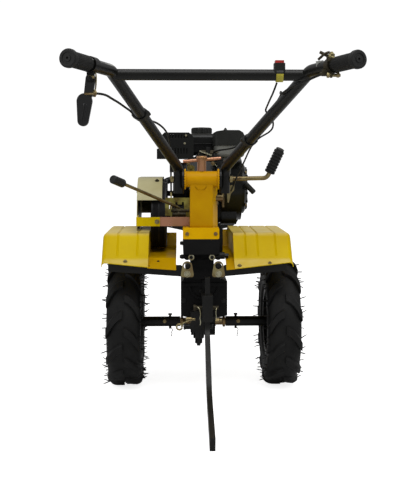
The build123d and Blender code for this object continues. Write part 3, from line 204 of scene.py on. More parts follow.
def blended(tree, share, under, over):
    """Two colours, with the second one over the first by a share."""
    return place(tree, "ShaderNodeMix", {0: share, 6: under, 7: over}, data_type="RGBA").outputs[2]


print("helpers:", ", ".join(helper.__name__ for helper in (put, feed, place, group_tree, maths)))


# %% [markdown]
# ## Effects that many finishes share
# Paint, castings, rubber and zinc all vary a little over their surface. Four groups make
# that variation: `mottle` drifts between two colours, `grain` is a fine height for a bump,
# `dust` is a mask that settles on what faces up, and `wear` is a mask on sharp edges, found
# by comparing the surface's own normal with one that the Bevel node has rounded. They read
# Object coordinates, so a pattern has its real size in metres on every piece.

# %% Mottle: a slow drift between two colours
# the part of the noise's range over which the two colours mix
MIX_FROM, MIX_TO = 0.35, 0.65


def make_mottle():
    tree, given, result = group_tree(
        "mottle", "ShaderNodeTree",
        [("Light", "Color", None), ("Dark", "Color", None), ("Scale", "Float", 9.0)],
        [("Color", "Color")])
    spread = ranged(tree, noise(tree, given["Scale"], 5.0), MIX_FROM, MIX_TO)
    tree.links.new(blended(tree, spread, given["Light"], given["Dark"]), result["Color"])
    return tree


MOTTLE = make_mottle()


# %% Grain: fine height for a bump
WAVE_SCALE = 38.0


def make_grain():
    tree, given, result = group_tree(
        "grain", "ShaderNodeTree",
        [("Scale", "Float", 400.0), ("Waves", "Float", 0.3)],
        [("Height", "Float")])
    waves = maths(tree, "MULTIPLY", noise(tree, WAVE_SCALE, 2.0), given["Waves"])
    tree.links.new(maths(tree, "ADD", noise(tree, given["Scale"], 3.0), waves), result["Height"])
    return tree


GRAIN = make_grain()


# %% Dust: a mask on what faces up
# how much a face looks up where dust begins to lie, and where it lies fully
DUST_BEGINS, DUST_FULL = 0.67, 0.97
PATCH_SCALE = 22.0


def make_dust():
    tree, given, result = group_tree(
        "dust", "ShaderNodeTree", [("Amount", "Float", 0.3)], [("Mask", "Float")])
    normal = place(tree, "ShaderNodeTexCoord").outputs["Normal"]
    facing = place(tree, "ShaderNodeSeparateXYZ", {0: normal}).outputs[2]
    up = ranged(tree, facing, DUST_BEGINS, DUST_FULL)
    patches = maths(tree, "MULTIPLY", up, noise(tree, PATCH_SCALE, 6.0))
    tree.links.new(maths(tree, "MULTIPLY", patches, given["Amount"]), result["Mask"])
    return tree


DUST = make_dust()


# %% Wear: a mask along sharp edges
# how far the rounded normal agrees with the flat one where wear begins, and where it is full
WEAR_BEGINS, WEAR_FULL = 0.97, 0.75
CHIP_SCALE, CHIP_FROM, CHIP_TO = 120.0, 0.45, 0.62
BEVEL_SAMPLES = 4


def rounded_normal(tree, radius):
    """The surface's normal as if its edges had this radius."""
    return place(tree, "ShaderNodeBevel", {"Radius": radius}, samples=BEVEL_SAMPLES).outputs[0]


def make_wear():
    tree, given, result = group_tree(
        "wear", "ShaderNodeTree",
        [("Width", "Float", 0.002), ("Amount", "Float", 0.4)], [("Mask", "Float")])
    rounded = rounded_normal(tree, given["Width"])
    flat = place(tree, "ShaderNodeNewGeometry").outputs["Normal"]
    same = place(tree, "ShaderNodeVectorMath", {0: rounded, 1: flat}, operation="DOT_PRODUCT")
    chips = ranged(tree, noise(tree, CHIP_SCALE, 4.0), CHIP_FROM, CHIP_TO)
    worn = maths(tree, "MULTIPLY", ranged(tree, same.outputs["Value"], WEAR_BEGINS, WEAR_FULL), chips)
    tree.links.new(maths(tree, "MULTIPLY", worn, given["Amount"]), result["Mask"])
    return tree


WEAR = make_wear()
print("shader groups:", MOTTLE.name, GRAIN.name, DUST.name, WEAR.name)


# %% [markdown]
# ## One recipe for every finish
# Every finish here is the same layering: a drifting colour, worn edges that show the metal
# or the paler rubber beneath, a touch of dust, a roughness that varies with its own noise,
# and a bump that gives paint its orange peel, a casting its sand and rubber its mould grain.
# The Bevel node softens the solids' sharp edges in the shading, as paint does by pooling.

# %% Finish recipe
WEAR_WIDTH, COAT_ROUGHNESS = 0.0022, 0.12
# how far the roughness drifts to either side, as shares of it, and over what part of its noise
GLOSS_DRIFT, SMEAR_SCALE, SMEAR_FROM, SMEAR_TO = (0.85, 1.15), 30.0, 0.3, 0.7


def tone(red, green, blue):
    """A colour given as a screen shows it, as the linear light that a shader wants."""
    return tuple(((c / 255 + 0.055) / 1.055) ** 2.4 if c > 10 else c / 255 / 12.92
                 for c in (red, green, blue)) + (1.0,)


def finish_of(name, light, dark, rough, metal=0.0, coat=0.0, grain=400.0, bump=0.05, depth=0.0004,
              waves=0.3, drift=9.0, dust=0.15, edge=0.0008, specular=0.5, dust_tone=(150, 143, 128),
              wear=0.0, wear_tone=(120, 118, 112)):
    """A painted, cast, plated or moulded finish."""
    made = bpy.data.materials.new(name)
    made.use_nodes = True
    tree = made.node_tree
    colours = {"Light": tone(*light), "Dark": tone(*dark), "Scale": drift}
    layers = place(tree, "ShaderNodeGroup", colours, node_tree=MOTTLE).outputs["Color"]
    masks = [(DUST, {"Amount": dust}, dust_tone)]
    if wear:
        masks.insert(0, (WEAR, {"Amount": wear, "Width": WEAR_WIDTH}, wear_tone))
    for group, values, over in masks:
        mask = place(tree, "ShaderNodeGroup", values, node_tree=group).outputs["Mask"]
        layers = blended(tree, mask, layers, tone(*over))
    low, high = (min(1.0, rough * share) for share in GLOSS_DRIFT)
    height = place(tree, "ShaderNodeGroup", {"Scale": grain, "Waves": waves}, node_tree=GRAIN)
    relief = {"Height": height.outputs["Height"], "Strength": bump, "Distance": depth}
    if edge:
        relief["Normal"] = rounded_normal(tree, edge)
    feed(tree, tree.nodes["Principled BSDF"], {
        "Base Color": layers, "Metallic": metal, "Specular IOR Level": specular,
        "Roughness": ranged(tree, noise(tree, SMEAR_SCALE, 4.0), SMEAR_FROM, SMEAR_TO, low, high),
        "Coat Weight": coat, "Coat Roughness": COAT_ROUGHNESS,
        "Normal": place(tree, "ShaderNodeBump", relief).outputs[0]})
    return made


# %% [markdown]
# ## The finishes
# Names follow the workshop: fender and column share a yellow, but the pressed fenders are
# a clean gloss and the column is the same gloss over a sand casting, a shade more orange.
# Frame and tubes are powder coated, the engine's sheet metal is stove enamel, and every
# bolt and bracket is yellow-passivated zinc, which drifts from straw to pink. Black paint
# under studio lamps looks grey when it mirrors too much of a white room, so the blacks keep
# a low specular level. Sixteen of the finishes are the model's material slots; the others
# are for single parts and faces.

# %% Finishes
# light and dark colour, roughness, and what differs from the recipe's own values
LOOKS = {
    "yellow_paint": ((196, 168, 0), (180, 150, 0), 0.34, dict(
        grain=260, bump=0.06, waves=0.8, drift=5, dust=1.1, edge=0.0012, specular=0.05,
        dust_tone=(206, 188, 124))),
    "yellow_casting": ((200, 152, 0), (184, 132, 0), 0.36, dict(
        grain=320, bump=0.22, depth=0.0006, waves=1.2, drift=7, dust=0.01, edge=0.002, specular=0.06)),
    "cream_paint": ((162, 156, 120), (146, 138, 98), 0.4, dict(
        coat=0.02, grain=300, drift=6, dust=0.05, edge=0.001, specular=0.15)),
    "black_casting": ((12, 12, 12), (6, 6, 6), 0.5, dict(
        grain=520, bump=0.5, depth=0.0008, waves=0.9, drift=14, dust=0.03, edge=0.002, specular=0.12)),
    "black_steel": ((17, 17, 15), (11, 11, 10), 0.34, dict(
        grain=900, bump=0.12, waves=0.2, drift=11, dust=0.05, specular=0.2, wear=0.12)),
    "black_sheet": ((18, 19, 17), (12, 13, 12), 0.3, dict(
        coat=0.04, grain=300, waves=0.6, drift=8, dust=0.08, edge=0.0012, specular=0.2)),
    "engine_alloy": ((18, 19, 18), (10, 10, 10), 0.48, dict(
        grain=640, bump=0.4, depth=0.0006, drift=20, dust=0.06, edge=0.0012, specular=0.2)),
    "muffler_steel": ((22, 21, 19), (15, 14, 12), 0.6, dict(
        grain=500, bump=0.2, drift=25, dust=0.1, edge=0.001, specular=0.16)),
    "black_plastic": ((30, 31, 29), (24, 25, 23), 0.42, dict(
        grain=1400, bump=0.25, drift=10, dust=0.06, edge=0.0012, specular=0.2)),
    "grey_plastic": ((112, 113, 108), (92, 93, 88), 0.45, dict(
        grain=1200, bump=0.2, drift=10, dust=0.1, edge=0.0012, specular=0.25)),
    "pulley_alloy": ((48, 49, 50), (30, 31, 32), 0.42, dict(
        metal=0.6, grain=500, bump=0.3, drift=20, dust=0.06, specular=0.3)),
    "belt_rubber": ((17, 17, 18), (11, 11, 12), 0.7, dict(
        grain=1500, bump=0.4, drift=30, dust=0.05, edge=0.0006, specular=0.15)),
    "black_rubber": ((26, 26, 25), (19, 19, 18), 0.55, dict(
        grain=1300, bump=0.35, drift=14, dust=0.08, specular=0.22)),
    "tyre_rubber": ((18, 18, 17), (11, 11, 11), 0.6, dict(
        grain=700, bump=0.45, depth=0.0006, waves=0.8, drift=12, dust=0.1, edge=0, specular=0.2,
        dust_tone=(60, 58, 52))),
    "zinc_gold": ((142, 132, 92), (112, 92, 62), 0.34, dict(
        metal=0.85, grain=900, bump=0.12, drift=26, dust=0.05, edge=0.0006, wear=0.3,
        wear_tone=(170, 165, 150))),
    "axle_steel": ((140, 118, 80), (110, 84, 56), 0.36, dict(
        metal=0.85, grain=900, bump=0.12, drift=30, dust=0.05, edge=0.0006)),
    "red_plastic": ((170, 44, 36), (140, 34, 28), 0.4, dict(
        grain=1200, bump=0.15, drift=18, dust=0.1, edge=0.0012, specular=0.3)),
    "yellow_clamp": ((176, 168, 60), (150, 140, 40), 0.4, dict(
        grain=700, bump=0.15, drift=20, dust=0.1, edge=0.001, specular=0.3)),
    "pink_zinc": ((176, 126, 100), (150, 112, 70), 0.3, dict(
        metal=0.6, grain=900, bump=0.12, drift=14, dust=0.05, edge=0.0006, specular=0.3)),
    "bright_zinc": ((176, 174, 150), (140, 130, 96), 0.28, dict(
        metal=0.9, grain=900, bump=0.12, drift=40, dust=0.03, edge=0.0004, wear=0.3,
        wear_tone=(200, 198, 188))),
    "olive_zinc": ((156, 152, 78), (92, 80, 38), 0.36, dict(
        metal=0.6, grain=900, bump=0.12, drift=34, dust=0.05, edge=0.0006, specular=0.3)),
    "dull_zinc": ((62, 56, 40), (38, 34, 26), 0.5, dict(
        metal=0.5, grain=900, bump=0.15, drift=40, dust=0.05, edge=0.0004, specular=0.2)),
    # painted shade: a deeper yellow for the fenders' shadowed inner pockets
    "pocket_painted_shade": ((184, 144, 0), (160, 120, 0), 0.36, dict(
        grain=260, bump=0.06, waves=0.8, drift=6, dust=0.0, edge=0.0012, specular=0.05)),
    # a painted highlight: a lighter yellow for the lit foot and right edge of the column
    "column_painted_highlight": ((216, 168, 0), (202, 152, 0), 0.4, dict(
        grain=260, bump=0.06, waves=0.8, drift=6, dust=0.0, edge=0.0012, specular=0.05)),
    "gloss_black": ((12, 12, 13), (8, 8, 9), 0.16, dict(
        coat=0.2, grain=900, bump=0.04, drift=10, dust=0.02, edge=0.0015, specular=0.35)),
    # a painted sheen: pale grey for the lit top of the left handlebar tube
    "painted_sheen_grey": ((132, 132, 128), (70, 70, 68), 0.35, dict(
        grain=900, bump=0.08, drift=30, dust=0.02, edge=0.0006, specular=0.3)),
    # painted shade: a darker rubber for the tread's floor between the lugs and the lugs' sides
    "tread_painted_shade": ((12, 12, 12), (8, 8, 8), 0.8, dict(
        grain=500, bump=0.3, drift=20, dust=0.02, edge=0, specular=0.08)),
    "sidewall": ((84, 86, 80), (13, 13, 13), 0.6, dict(
        grain=700, bump=0.4, depth=0.0006, waves=0.8, drift=210, dust=0.1, edge=0, specular=0.2,
        dust_tone=(60, 58, 52))),
}
FINISH = {name: finish_of(name, *look[:3], **look[3]) for name, look in LOOKS.items()}
print("finishes:", len(FINISH))


# %% Put each finish on the CAD nodes of its slot
for entry in frame["record"]["subparts"]:
    node = NODES[entry["node"]]
    node.data.materials.clear()
    node.data.materials.append(FINISH[entry["material_slot"]])

# the strap and the clamp screw come from a pinker bath, the drawbar and hub pins have dulled,
# and the gate and the two hand controls have looks of their own
OTHER_LOOKS = {"guard_strap": "pink_zinc", "clamp_screw": "pink_zinc", "hitch_pin": "dull_zinc",
               "hub_pins": "dull_zinc", "shift_gate": "olive_zinc", "throttle_lever": "dull_zinc",
               "clutch_lever": "gloss_black"}
for node, look in OTHER_LOOKS.items():
    NODES[node].data.materials[0] = FINISH[look]

# %% A second finish on single faces
BUTTON_LOW, CLAMP_TOP, SLACK = at(0, 0, 993.2).z, at(0, 0, 964.9).z, 0.0003
SHEEN_FROM, SHEEN_TO, FACING_UP = at(0, -900, 0).y, at(0, -745, 0).y, 0.5
POCKET_LEFT, POCKET_RIGHT = at(-152, 0, 0).x, at(92, 0, 0).x
FOOT_TOP, FACING_RIGHT = at(0, 0, 546).z, 0.35


def repaint(node, look, wanted):
    """One more finish, for the faces that are wanted by the face and its corners' heights."""
    mesh = NODES[node].data
    mesh.materials.append(FINISH[look])
    count = 0
    for face in mesh.polygons:
        if wanted(face, [mesh.vertices[corner].co.z for corner in face.vertices]):
            face.material_index = len(mesh.materials) - 1
            count += 1
    print(node, count, "faces", look)


# the stop switch is one moulding in three colours: black, a red button and a yellow clamp
repaint("stop_switch", "red_plastic", lambda face, heights: min(heights) > BUTTON_LOW - SLACK)
repaint("stop_switch", "yellow_clamp", lambda face, heights: max(heights) < CLAMP_TOP + SLACK)
# between grip and bend the top of the left tube is painted pale grey: a painted sheen from the lamps above
repaint("handlebar_left", "painted_sheen_grey", lambda face, heights:
        SHEEN_FROM < face.center.y < SHEEN_TO and face.normal.z > FACING_UP)
# the inner pockets of the fenders carry no dust and are painted a deeper yellow as painted shade
repaint("fender_left", "pocket_painted_shade", lambda face, heights: face.center.x > POCKET_LEFT)
repaint("fender_right", "pocket_painted_shade", lambda face, heights: face.center.x < POCKET_RIGHT)
# the column's foot and its bevelled right edge are painted a lighter yellow: a painted highlight where they
# catch more light than its shaded face
repaint("handlebar_column", "column_painted_highlight", lambda face, heights:
        max(heights) < FOOT_TOP or face.normal.x > FACING_RIGHT)


# %% [markdown]
# ## Control cables
# Three cables run from the handlebar to the machine: the clutch's to its bell crank, the
# throttle's to the carburettor and the stop switch's wire. Each is stiff, sheathed and held
# in a clip or over a tube, so it lies in long calm bends. A NURBS curve through a few route
# points gives exactly such bends.

# %% Control cables
STEPS_ALONG, STEPS_ROUND = 8, 4


def route_curve(name, points, radius):
    """A smooth line of one NURBS spline, thin or as thick as a cable."""
    made = bpy.data.curves.new(name, "CURVE")
    made.dimensions = "3D"
    made.resolution_u = STEPS_ALONG
    spline = made.splines.new("NURBS")
    spline.points.add(len(points) - 1)
    for point, where in zip(spline.points, points):
        point.co = (*at(*where), 1)
    spline.order_u = 3
    spline.use_endpoint_u = True
    made.bevel_depth = radius
    made.bevel_resolution = STEPS_ROUND
    made.use_fill_caps = radius > 0
    return made


def control_cable(name, diameter, points):
    """A sheathed cable between the handlebar and the machine."""
    line = [vertex.co.copy() for vertex in plain_mesh(route_curve(name + "_line", points, 0)).vertices]
    tube = plain_mesh(route_curve(name + "_tube", points, diameter / 2))
    made = put(name + "_sheath", tube, FINISH["black_rubber"], "black_rubber")
    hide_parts(name)
    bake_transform(made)


control_cable("clutch_cable", 0.006, [
    (-283, -847, 907), (-268.5, -831, 907), (-258, -798, 906), (-250, -740, 902), (-238, -675, 897),
    (-224, -610, 888), (-210, -560.4, 879.7), (-196.3, -519, 859.8), (-187, -490, 862), (-163, -455, 860),
    (-147, -400, 857), (-137, -340, 852), (-128, -282, 846), (-121, -228, 838), (-115, -175, 827),
    (-111, -125, 812), (-108, -82, 790), (-107, -55, 757), (-107, -35, 722), (-107, -12, 690),
    (-107, 16, 668.5), (-107, 45.7, 641.7)])

control_cable("throttle_cable", 0.006, [
    (272, -840.6, 957), (259, -800, 954), (243, -768, 947), (222, -735, 940), (206, -695, 934),
    (187, -650, 919), (192, -617, 932), (199, -580, 926), (186, -525, 900), (168, -460, 876),
    (150, -385, 853), (137, -310, 833), (126, -235, 814), (116, -162, 799), (103, -92, 790),
    (84, -32, 785), (62, 20, 783), (44, 68, 779), (36, 115, 774)])

control_cable("stop_wire", 0.005, [
    (168.5, -735, 943.3), (162, -722, 922), (158, -670, 906), (157, -610, 894), (157, -566, 887),
    (160, -525, 882), (178, -495, 872), (189, -474, 850), (184, -450, 830), (149.7, -418.1, 811.2),
    (135.8, -380.5, 793.1), (128, -345, 775), (120, -310, 751), (110, -275, 724), (100, -242, 700),
    (92, -205, 672), (86, -160, 650), (84, -105, 640), (84, -45, 643), (86, 15, 655), (88, 70, 668),
    (90, 125, 680), (90, 186, 694)])


# %% [markdown]
# ## Growing repeats with Geometry Nodes
# Tread lugs, moulding hairs, bolts and ribs all repeat one small shape by a rule. A Geometry
# Nodes tree states the rule once, with named inputs for its sizes. `grow` runs a tree on a
# seed mesh, reads the result back as a plain mesh and removes the seed, so what is left is
# ordinary geometry.

# %% Parts of a tree
def geometry_tree(name, inputs):
    """A tree that takes and gives a geometry, with more named inputs."""
    print("tree:", name, "with", ", ".join(label for label, socket, start in inputs))
    return group_tree(name, "GeometryNodeTree", [("Geometry", "Geometry", None), *inputs],
                      [("Geometry", "Geometry")])


def spots_of(tree, count, step=(0, 0, 0)):
    """So many points, all in one place or a step apart."""
    return place(tree, "GeometryNodeMeshLine", {"Count": count, "Offset": step}).outputs[0]


def copies_on(tree, points, shape, **values):
    """A shape on every point, turned and sized by the values."""
    values = {"Points": points, "Instance": shape, **values}
    return place(tree, "GeometryNodeInstanceOnPoints", values).outputs[0]


def moved(tree, shape, **values):
    """A shape moved, turned or sized."""
    return place(tree, "GeometryNodeTransform", {"Geometry": shape, **values}).outputs[0]


def together(tree, *shapes):
    """Several shapes as one."""
    both = place(tree, "GeometryNodeJoinGeometry")
    for shape in shapes:
        tree.links.new(shape, both.inputs[0])
    return both.outputs[0]


def attribute(tree, name, kind):
    """A value that the seed mesh carries."""
    return place(tree, "GeometryNodeInputNamedAttribute", {"Name": name}, data_type=kind).outputs[0]


def random_value(tree, low, high, seed):
    """A number by chance for each point."""
    values = {2: low, 3: high, "Seed": seed}
    return place(tree, "FunctionNodeRandomValue", values, data_type="FLOAT").outputs[1]


def finished(tree, copies, material):
    """The copies made real and given their material: the end of every tree."""
    whole = place(tree, "GeometryNodeRealizeInstances", {0: copies}).outputs[0]
    return place(tree, "GeometryNodeSetMaterial", {"Geometry": whole, "Material": material}).outputs[0]


# %% Grow
def grow(seed, tree, **settings):
    """The plain mesh that a tree makes of a seed mesh."""
    work = added("seed", seed)
    growth = work.modifiers.new("growth", "NODES")
    growth.node_group = tree
    for socket in tree.interface.items_tree:
        if socket.item_type == "SOCKET" and socket.in_out == "INPUT" and socket.name in settings:
            growth[socket.identifier] = settings[socket.name]
    return plain_mesh(work)


WELD = 1e-6


def faced_out(mesh):
    """A closed mesh with its seams welded and its faces turned outwards."""
    work = bmesh.new()
    work.from_mesh(mesh)
    bmesh.ops.remove_doubles(work, verts=work.verts, dist=WELD)
    bmesh.ops.recalc_face_normals(work, faces=work.faces)
    work.to_mesh(mesh)
    work.free()
    return mesh


def mesh_of(points, faces):
    """A closed mesh from points and faces."""
    mesh = bpy.data.meshes.new("shape")
    mesh.from_pydata([tuple(point) for point in points], [], faces)
    return faced_out(mesh)


def shaded_smooth(mesh, angle=35):
    """Smooth shading that keeps edges sharper than the angle."""
    mesh.polygons.foreach_set("use_smooth", [True] * len(mesh.polygons))
    work = bmesh.new()
    work.from_mesh(mesh)
    for edge in work.edges:
        edge.smooth = len(edge.link_faces) != 2 or edge.calc_face_angle(0) < radians(angle)
    work.to_mesh(mesh)
    work.free()
    return mesh


# %% [markdown]
# ## Tyres
# A tractor tyre is a carcass with a rounded crown and heavy slanted lugs. From behind, the
# lugs of the two sides meet at the middle like the strokes of an inverted V, and they wrap
# over the shoulder into the sidewall. The carcass is a turned profile: a ring of points,
# spun round the axle. One lug is built in the tyre's own cross section, station by station
# from the middle line over the shoulder, and a tree turns it round the axle and mirrors it
# with half a pitch between the sides.

# %% Tyre sizes
TREAD_RADIUS = AXLE.z
LUGS = 12
# across and radius, from the crown down one side
CARCASS = [(0, 197.6), (14, 197.2), (28, 195.4), (39, 191.6), (47, 185.4), (52.4, 176.5), (54.6, 166),
           (55.2, 157), (54.4, 151), (55.3, 150), (55.1, 147.5), (54, 146.5), (52.4, 138), (49.8, 129),
           (50.4, 127.6), (49.6, 125.4), (47.4, 124), (43.6, 118.4), (40.6, 116.4)]
# the row of CARCASS where the sidewall begins
SIDEWALL_BEGINS = 6
CARCASS_INSIDE = [(36, 118.6), (42, 132), (44.5, 152), (41, 172), (30, 184), (0, 188)]
# across, radius of the top, middle along the tread, half width of the top
LUG_LINE = [(3, 206.9, -3, 13), (15, 207.3, 3, 14), (28, 206.8, 14, 15), (39, 205.2, 29, 16),
            (47, 201.8, 43, 17), (53, 196.6, 52, 17), (55.8, 189, 58, 17), (56, 178, 62, 15),
            (54.8, 167, 64, 11)]
# outside this radius a face is tread, in metres
TREAD_EDGE = 0.178
# where a lug's foot lies: wider than its top, inwards on the shoulder and a little below the carcass
LUG_DRAFT, LUG_BEVEL, LUG_BEVEL_DROP = 4, 2.4, 0.14
FOOT_INWARDS, FOOT_OUT, FOOT_BELOW = 9, 6, 3
# the row of LUG_LINE where the shoulder begins to turn down, and over how many rows it does
TURN_FROM, TURN_OVER = 3, 4
# edges of the tyre sharper than this many degrees stay sharp
TYRE_CREASE = 40
RUBBER = FINISH["tyre_rubber"]
print("tyre radius", round(TREAD_RADIUS, 4), "lugs on each side", LUGS)


# %% Tyre carcass
def ring_point(across, radius, angle):
    """A point on a wheel: across the tyre, out from the axle, and back round from the top."""
    return Vector((across, -radius * sin(angle), radius * cos(angle))) / 1000


def skin(sections, size, closed):
    """Faces between neighbouring sections of so many points."""
    return [(a * size + k, a * size + (k + 1) % size, b * size + (k + 1) % size, b * size + k)
            for a, b in ((step, (step + 1) % sections) for step in range(sections - (not closed)))
            for k in range(size)]


def carcass_mesh(segments=144):
    """The profile turned round the axle, closed on itself."""
    half = CARCASS + CARCASS_INSIDE
    profile = half + [(-across, radius) for across, radius in reversed(half) if across]
    points = [ring_point(*spot, tau * step / segments) for step in range(segments) for spot in profile]
    mesh = mesh_of(points, skin(segments, len(profile), True))
    # the tread's floor is dull, and painted dark between the lugs as painted shade; the sidewalls are grazed
    # and speckled
    for face in mesh.polygons:
        reach = sqrt(face.center.y ** 2 + face.center.z ** 2)
        face.material_index = 1 if reach > TREAD_EDGE else 2
    return mesh


# %% One lug
def carcass_radius(across):
    """How far out the carcass is under a lug, and beyond its widest part where the sidewall begins."""
    for (a, low), (b, high) in zip(CARCASS, CARCASS[1:]):
        if a <= across <= b:
            return low + (high - low) * (across - a) / (b - a)
    return CARCASS[SIDEWALL_BEGINS][1]


def lug_mesh():
    """One lug, closed, with drafted sides, over the crown and down the shoulder."""
    points = []
    for k, (across, radius, along, half) in enumerate(LUG_LINE):
        # where the shoulder turns down, the lug's foot lies inwards rather than below
        turn = min(1, max(0, (k - TURN_FROM) / TURN_OVER))
        foot_across = across - FOOT_INWARDS * turn
        foot_radius = min(radius - 1, carcass_radius(across) + FOOT_OUT * turn) - FOOT_BELOW
        foot, bevel = half + LUG_DRAFT, half - LUG_BEVEL
        side = [(foot, 1), (half, LUG_BEVEL_DROP), (bevel, 0)]
        section = [(-offset, down) for offset, down in side] + side[::-1]
        for offset, down in section:
            out = across + (foot_across - across) * down
            up = radius + (foot_radius - radius) * down
            points.append(ring_point(out, up, (along + offset) / TREAD_RADIUS / 1000))
    width, last = len(section), len(points) - len(section)
    faces = skin(len(LUG_LINE), width, False)
    faces += [tuple(range(width)), tuple(range(last, len(points)))]
    mesh = mesh_of(points, faces)
    # the drafted sides are marked, for a darker finish that is painted shade
    marks = mesh.attributes.new("side", "BOOLEAN", "FACE")
    marks.data.foreach_set("value", [k < last and k % width in (0, 4) for k in range(len(mesh.polygons))])
    return mesh


# %% Tree: turn a shape round the axle, and mirror it half a pitch on
def make_tread_tree():
    tree, given, result = geometry_tree("tread", [
        ("Count", "Int", LUGS), ("Material", "Material", None), ("Side Shade Material", "Material", None)])
    turn = maths(tree, "DIVIDE", tau, given["Count"])
    index = place(tree, "GeometryNodeInputIndex").outputs[0]
    spin = vector_of(tree, maths(tree, "MULTIPLY", index, turn))
    side = copies_on(tree, spots_of(tree, given["Count"]), given["Geometry"], Rotation=spin)
    right = place(tree, "GeometryNodeRealizeInstances", {0: side}).outputs[0]
    shift = vector_of(tree, maths(tree, "MULTIPLY", turn, 0.5))
    mirrored = moved(tree, right, Rotation=shift, Scale=(-1, 1, 1))
    left = place(tree, "GeometryNodeFlipFaces", {0: mirrored}).outputs[0]
    faced = finished(tree, together(tree, right, left), given["Material"])
    # the marked lug sides get the darker finish, as painted shade
    done = place(tree, "GeometryNodeSetMaterial",
                 {"Geometry": faced, "Selection": attribute(tree, "side", "BOOLEAN"),
                  "Material": given["Side Shade Material"]})
    tree.links.new(done.outputs[0], result[0])
    return tree


TREAD_TREE = make_tread_tree()


# %% Tree: a row of moulding hairs round a shoulder
# how far chance moves a hair along its row, as a share of the spacing, and out from the axle, in
# metres; how far it twists and tips it, in radians; and what share of the length is left
ALONG, OUTWARDS, TWIST, TIP = (-0.45, 0.45), (-0.011, 0.009), (-0.25, 0.25), (-0.5, 0.5)
LENGTH_SHARE = (0.45, 1.0)


def make_hair_tree():
    tree, given, result = geometry_tree("hairs", [
        ("Count", "Int", 60), ("Across", "Float", 0.054), ("Radius", "Float", 0.18),
        ("Length", "Float", 0.013), ("Thickness", "Float", 0.001),
        ("Seed", "Int", 3), ("Material", "Material", None)])
    index = place(tree, "GeometryNodeInputIndex").outputs[0]

    def chance(span, shift):
        seed = maths(tree, "ADD", given["Seed"], shift)
        return random_value(tree, *span, seed)

    jitter = maths(tree, "ADD", index, chance(ALONG, 1))
    angle = maths(tree, "MULTIPLY", jitter, maths(tree, "DIVIDE", tau, given["Count"]))
    reach = maths(tree, "ADD", given["Radius"], chance(OUTWARDS, 2))
    back = maths(tree, "MULTIPLY", maths(tree, "SINE", angle), reach)
    up = maths(tree, "MULTIPLY", maths(tree, "COSINE", angle), reach)
    spots = place(tree, "GeometryNodeSetPosition", {
        "Geometry": spots_of(tree, given["Count"]),
        "Position": vector_of(tree, given["Across"], back, up)}).outputs[0]
    lean = vector_of(tree, chance(TWIST, 3), chance(TIP, 4), chance(TIP, 5))
    long = maths(tree, "MULTIPLY", given["Length"], chance(LENGTH_SHARE, 6))
    size = vector_of(tree, long, given["Thickness"], given["Thickness"])
    hairs = copies_on(tree, spots, given["Geometry"], Rotation=lean, Scale=size)
    tree.links.new(finished(tree, hairs, given["Material"]), result[0])
    return tree


HAIR_TREE = make_hair_tree()


# %% One hair
# where along a hair its root is and where its point begins, and how thick it still is there
HAIR_ROOT, HAIR_POINT, HAIR_WAIST = -0.2, 0.7, 0.8


def hair_mesh():
    """One hair of unit length along X: a slim four-sided spike that starts inside the rubber."""
    points = [(along, thick * cos(k * pi / 2), thick * sin(k * pi / 2))
              for along, thick in ((HAIR_ROOT, 1), (HAIR_POINT, HAIR_WAIST)) for k in range(4)]
    faces = [(0, 1, 2, 3)] + [(k, (k + 1) % 4, (k + 1) % 4 + 4, k + 4) for k in range(4)]
    return mesh_of(points + [(1, 0, 0)], faces + [(k + 4, (k + 1) % 4 + 4, 8) for k in range(4)])


# %% Put the tyres together
def joined(parts):
    """One mesh from several (mesh, matrix) pairs. A matrix that mirrors has its faces turned."""
    whole = bmesh.new()
    for mesh, matrix in parts:
        piece = bmesh.new()
        piece.from_mesh(mesh)
        bmesh.ops.transform(piece, matrix=matrix, verts=piece.verts)
        if matrix.determinant() < 0:
            bmesh.ops.reverse_faces(piece, faces=piece.faces)
        spare = bpy.data.meshes.new("spare")
        piece.to_mesh(spare)
        piece.free()
        whole.from_mesh(spare)
    made = bpy.data.meshes.new("joined")
    whole.to_mesh(made)
    whole.free()
    return made


CARCASS_MESH = carcass_mesh()
LUG_MESH = grow(lug_mesh(), TREAD_TREE, Count=LUGS, Material=RUBBER,
                **{"Side Shade Material": FINISH["tread_painted_shade"]})
# share of the hairs, across, radius, length, half thickness
HAIR_ROWS = [(1.0, 53.6, 190, 24, 1.9), (1.0, 54.2, 176, 22, 1.7), (0.7, 53.6, 160, 18, 1.5)]
# how many hairs a tyre has in a row on its right (1) and left (-1) side
HAIRS = {("left", 1): 36, ("left", -1): 20, ("right", 1): 18, ("right", -1): 22}

for side, name in ((-1, "left"), (1, "right")):
    hub = Matrix.Translation((middle("tyre_" + name).x, AXLE.y, AXLE.z))
    parts = [(CARCASS_MESH, hub), (LUG_MESH, hub)]
    for row, (share, across, radius, length, thick) in enumerate(HAIR_ROWS):
        for outward in (-1, 1):
            hairs = grow(hair_mesh(), HAIR_TREE, Count=round(share * HAIRS[name, outward]),
                         Across=across / 1000, Radius=radius / 1000, Length=length / 1000,
                         Thickness=thick / 1000, Seed=20 * row + 7 * side + 3 * outward + 40, Material=RUBBER)
            parts.append((hairs, hub @ Matrix.Scale(outward, 4, (1, 0, 0))))
    whole = shaded_smooth(joined(parts), TYRE_CREASE)
    tyre = put("tyre_tread_" + name, whole, RUBBER, "tyre_rubber", "axle_and_wheels")
    for second in ("tread_painted_shade", "sidewall"):
        tyre.data.materials.append(FINISH[second])
    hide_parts("tyre_" + name)
    print(tyre.name, "faces", len(tyre.data.polygons))


# %% [markdown]
# ## Bolts
# Every joint on the machine is held by hexagon bolts on washers. They differ only in place,
# direction and size, so one tree sets one head on every point of a seed mesh. The seed
# carries two attributes: `facing`, which way the head looks, and `size`, the width across
# its flats. A random turn about its own axis keeps the heads from lining up.

# %% Tree: hexagon heads on washers
# sizes as shares of the width across the flats
FLAT_TOP, HEX_CORNER, HEAD_BEVEL, WASHER_DEPTH = 0.5, 0.577, 0.09, 0.2


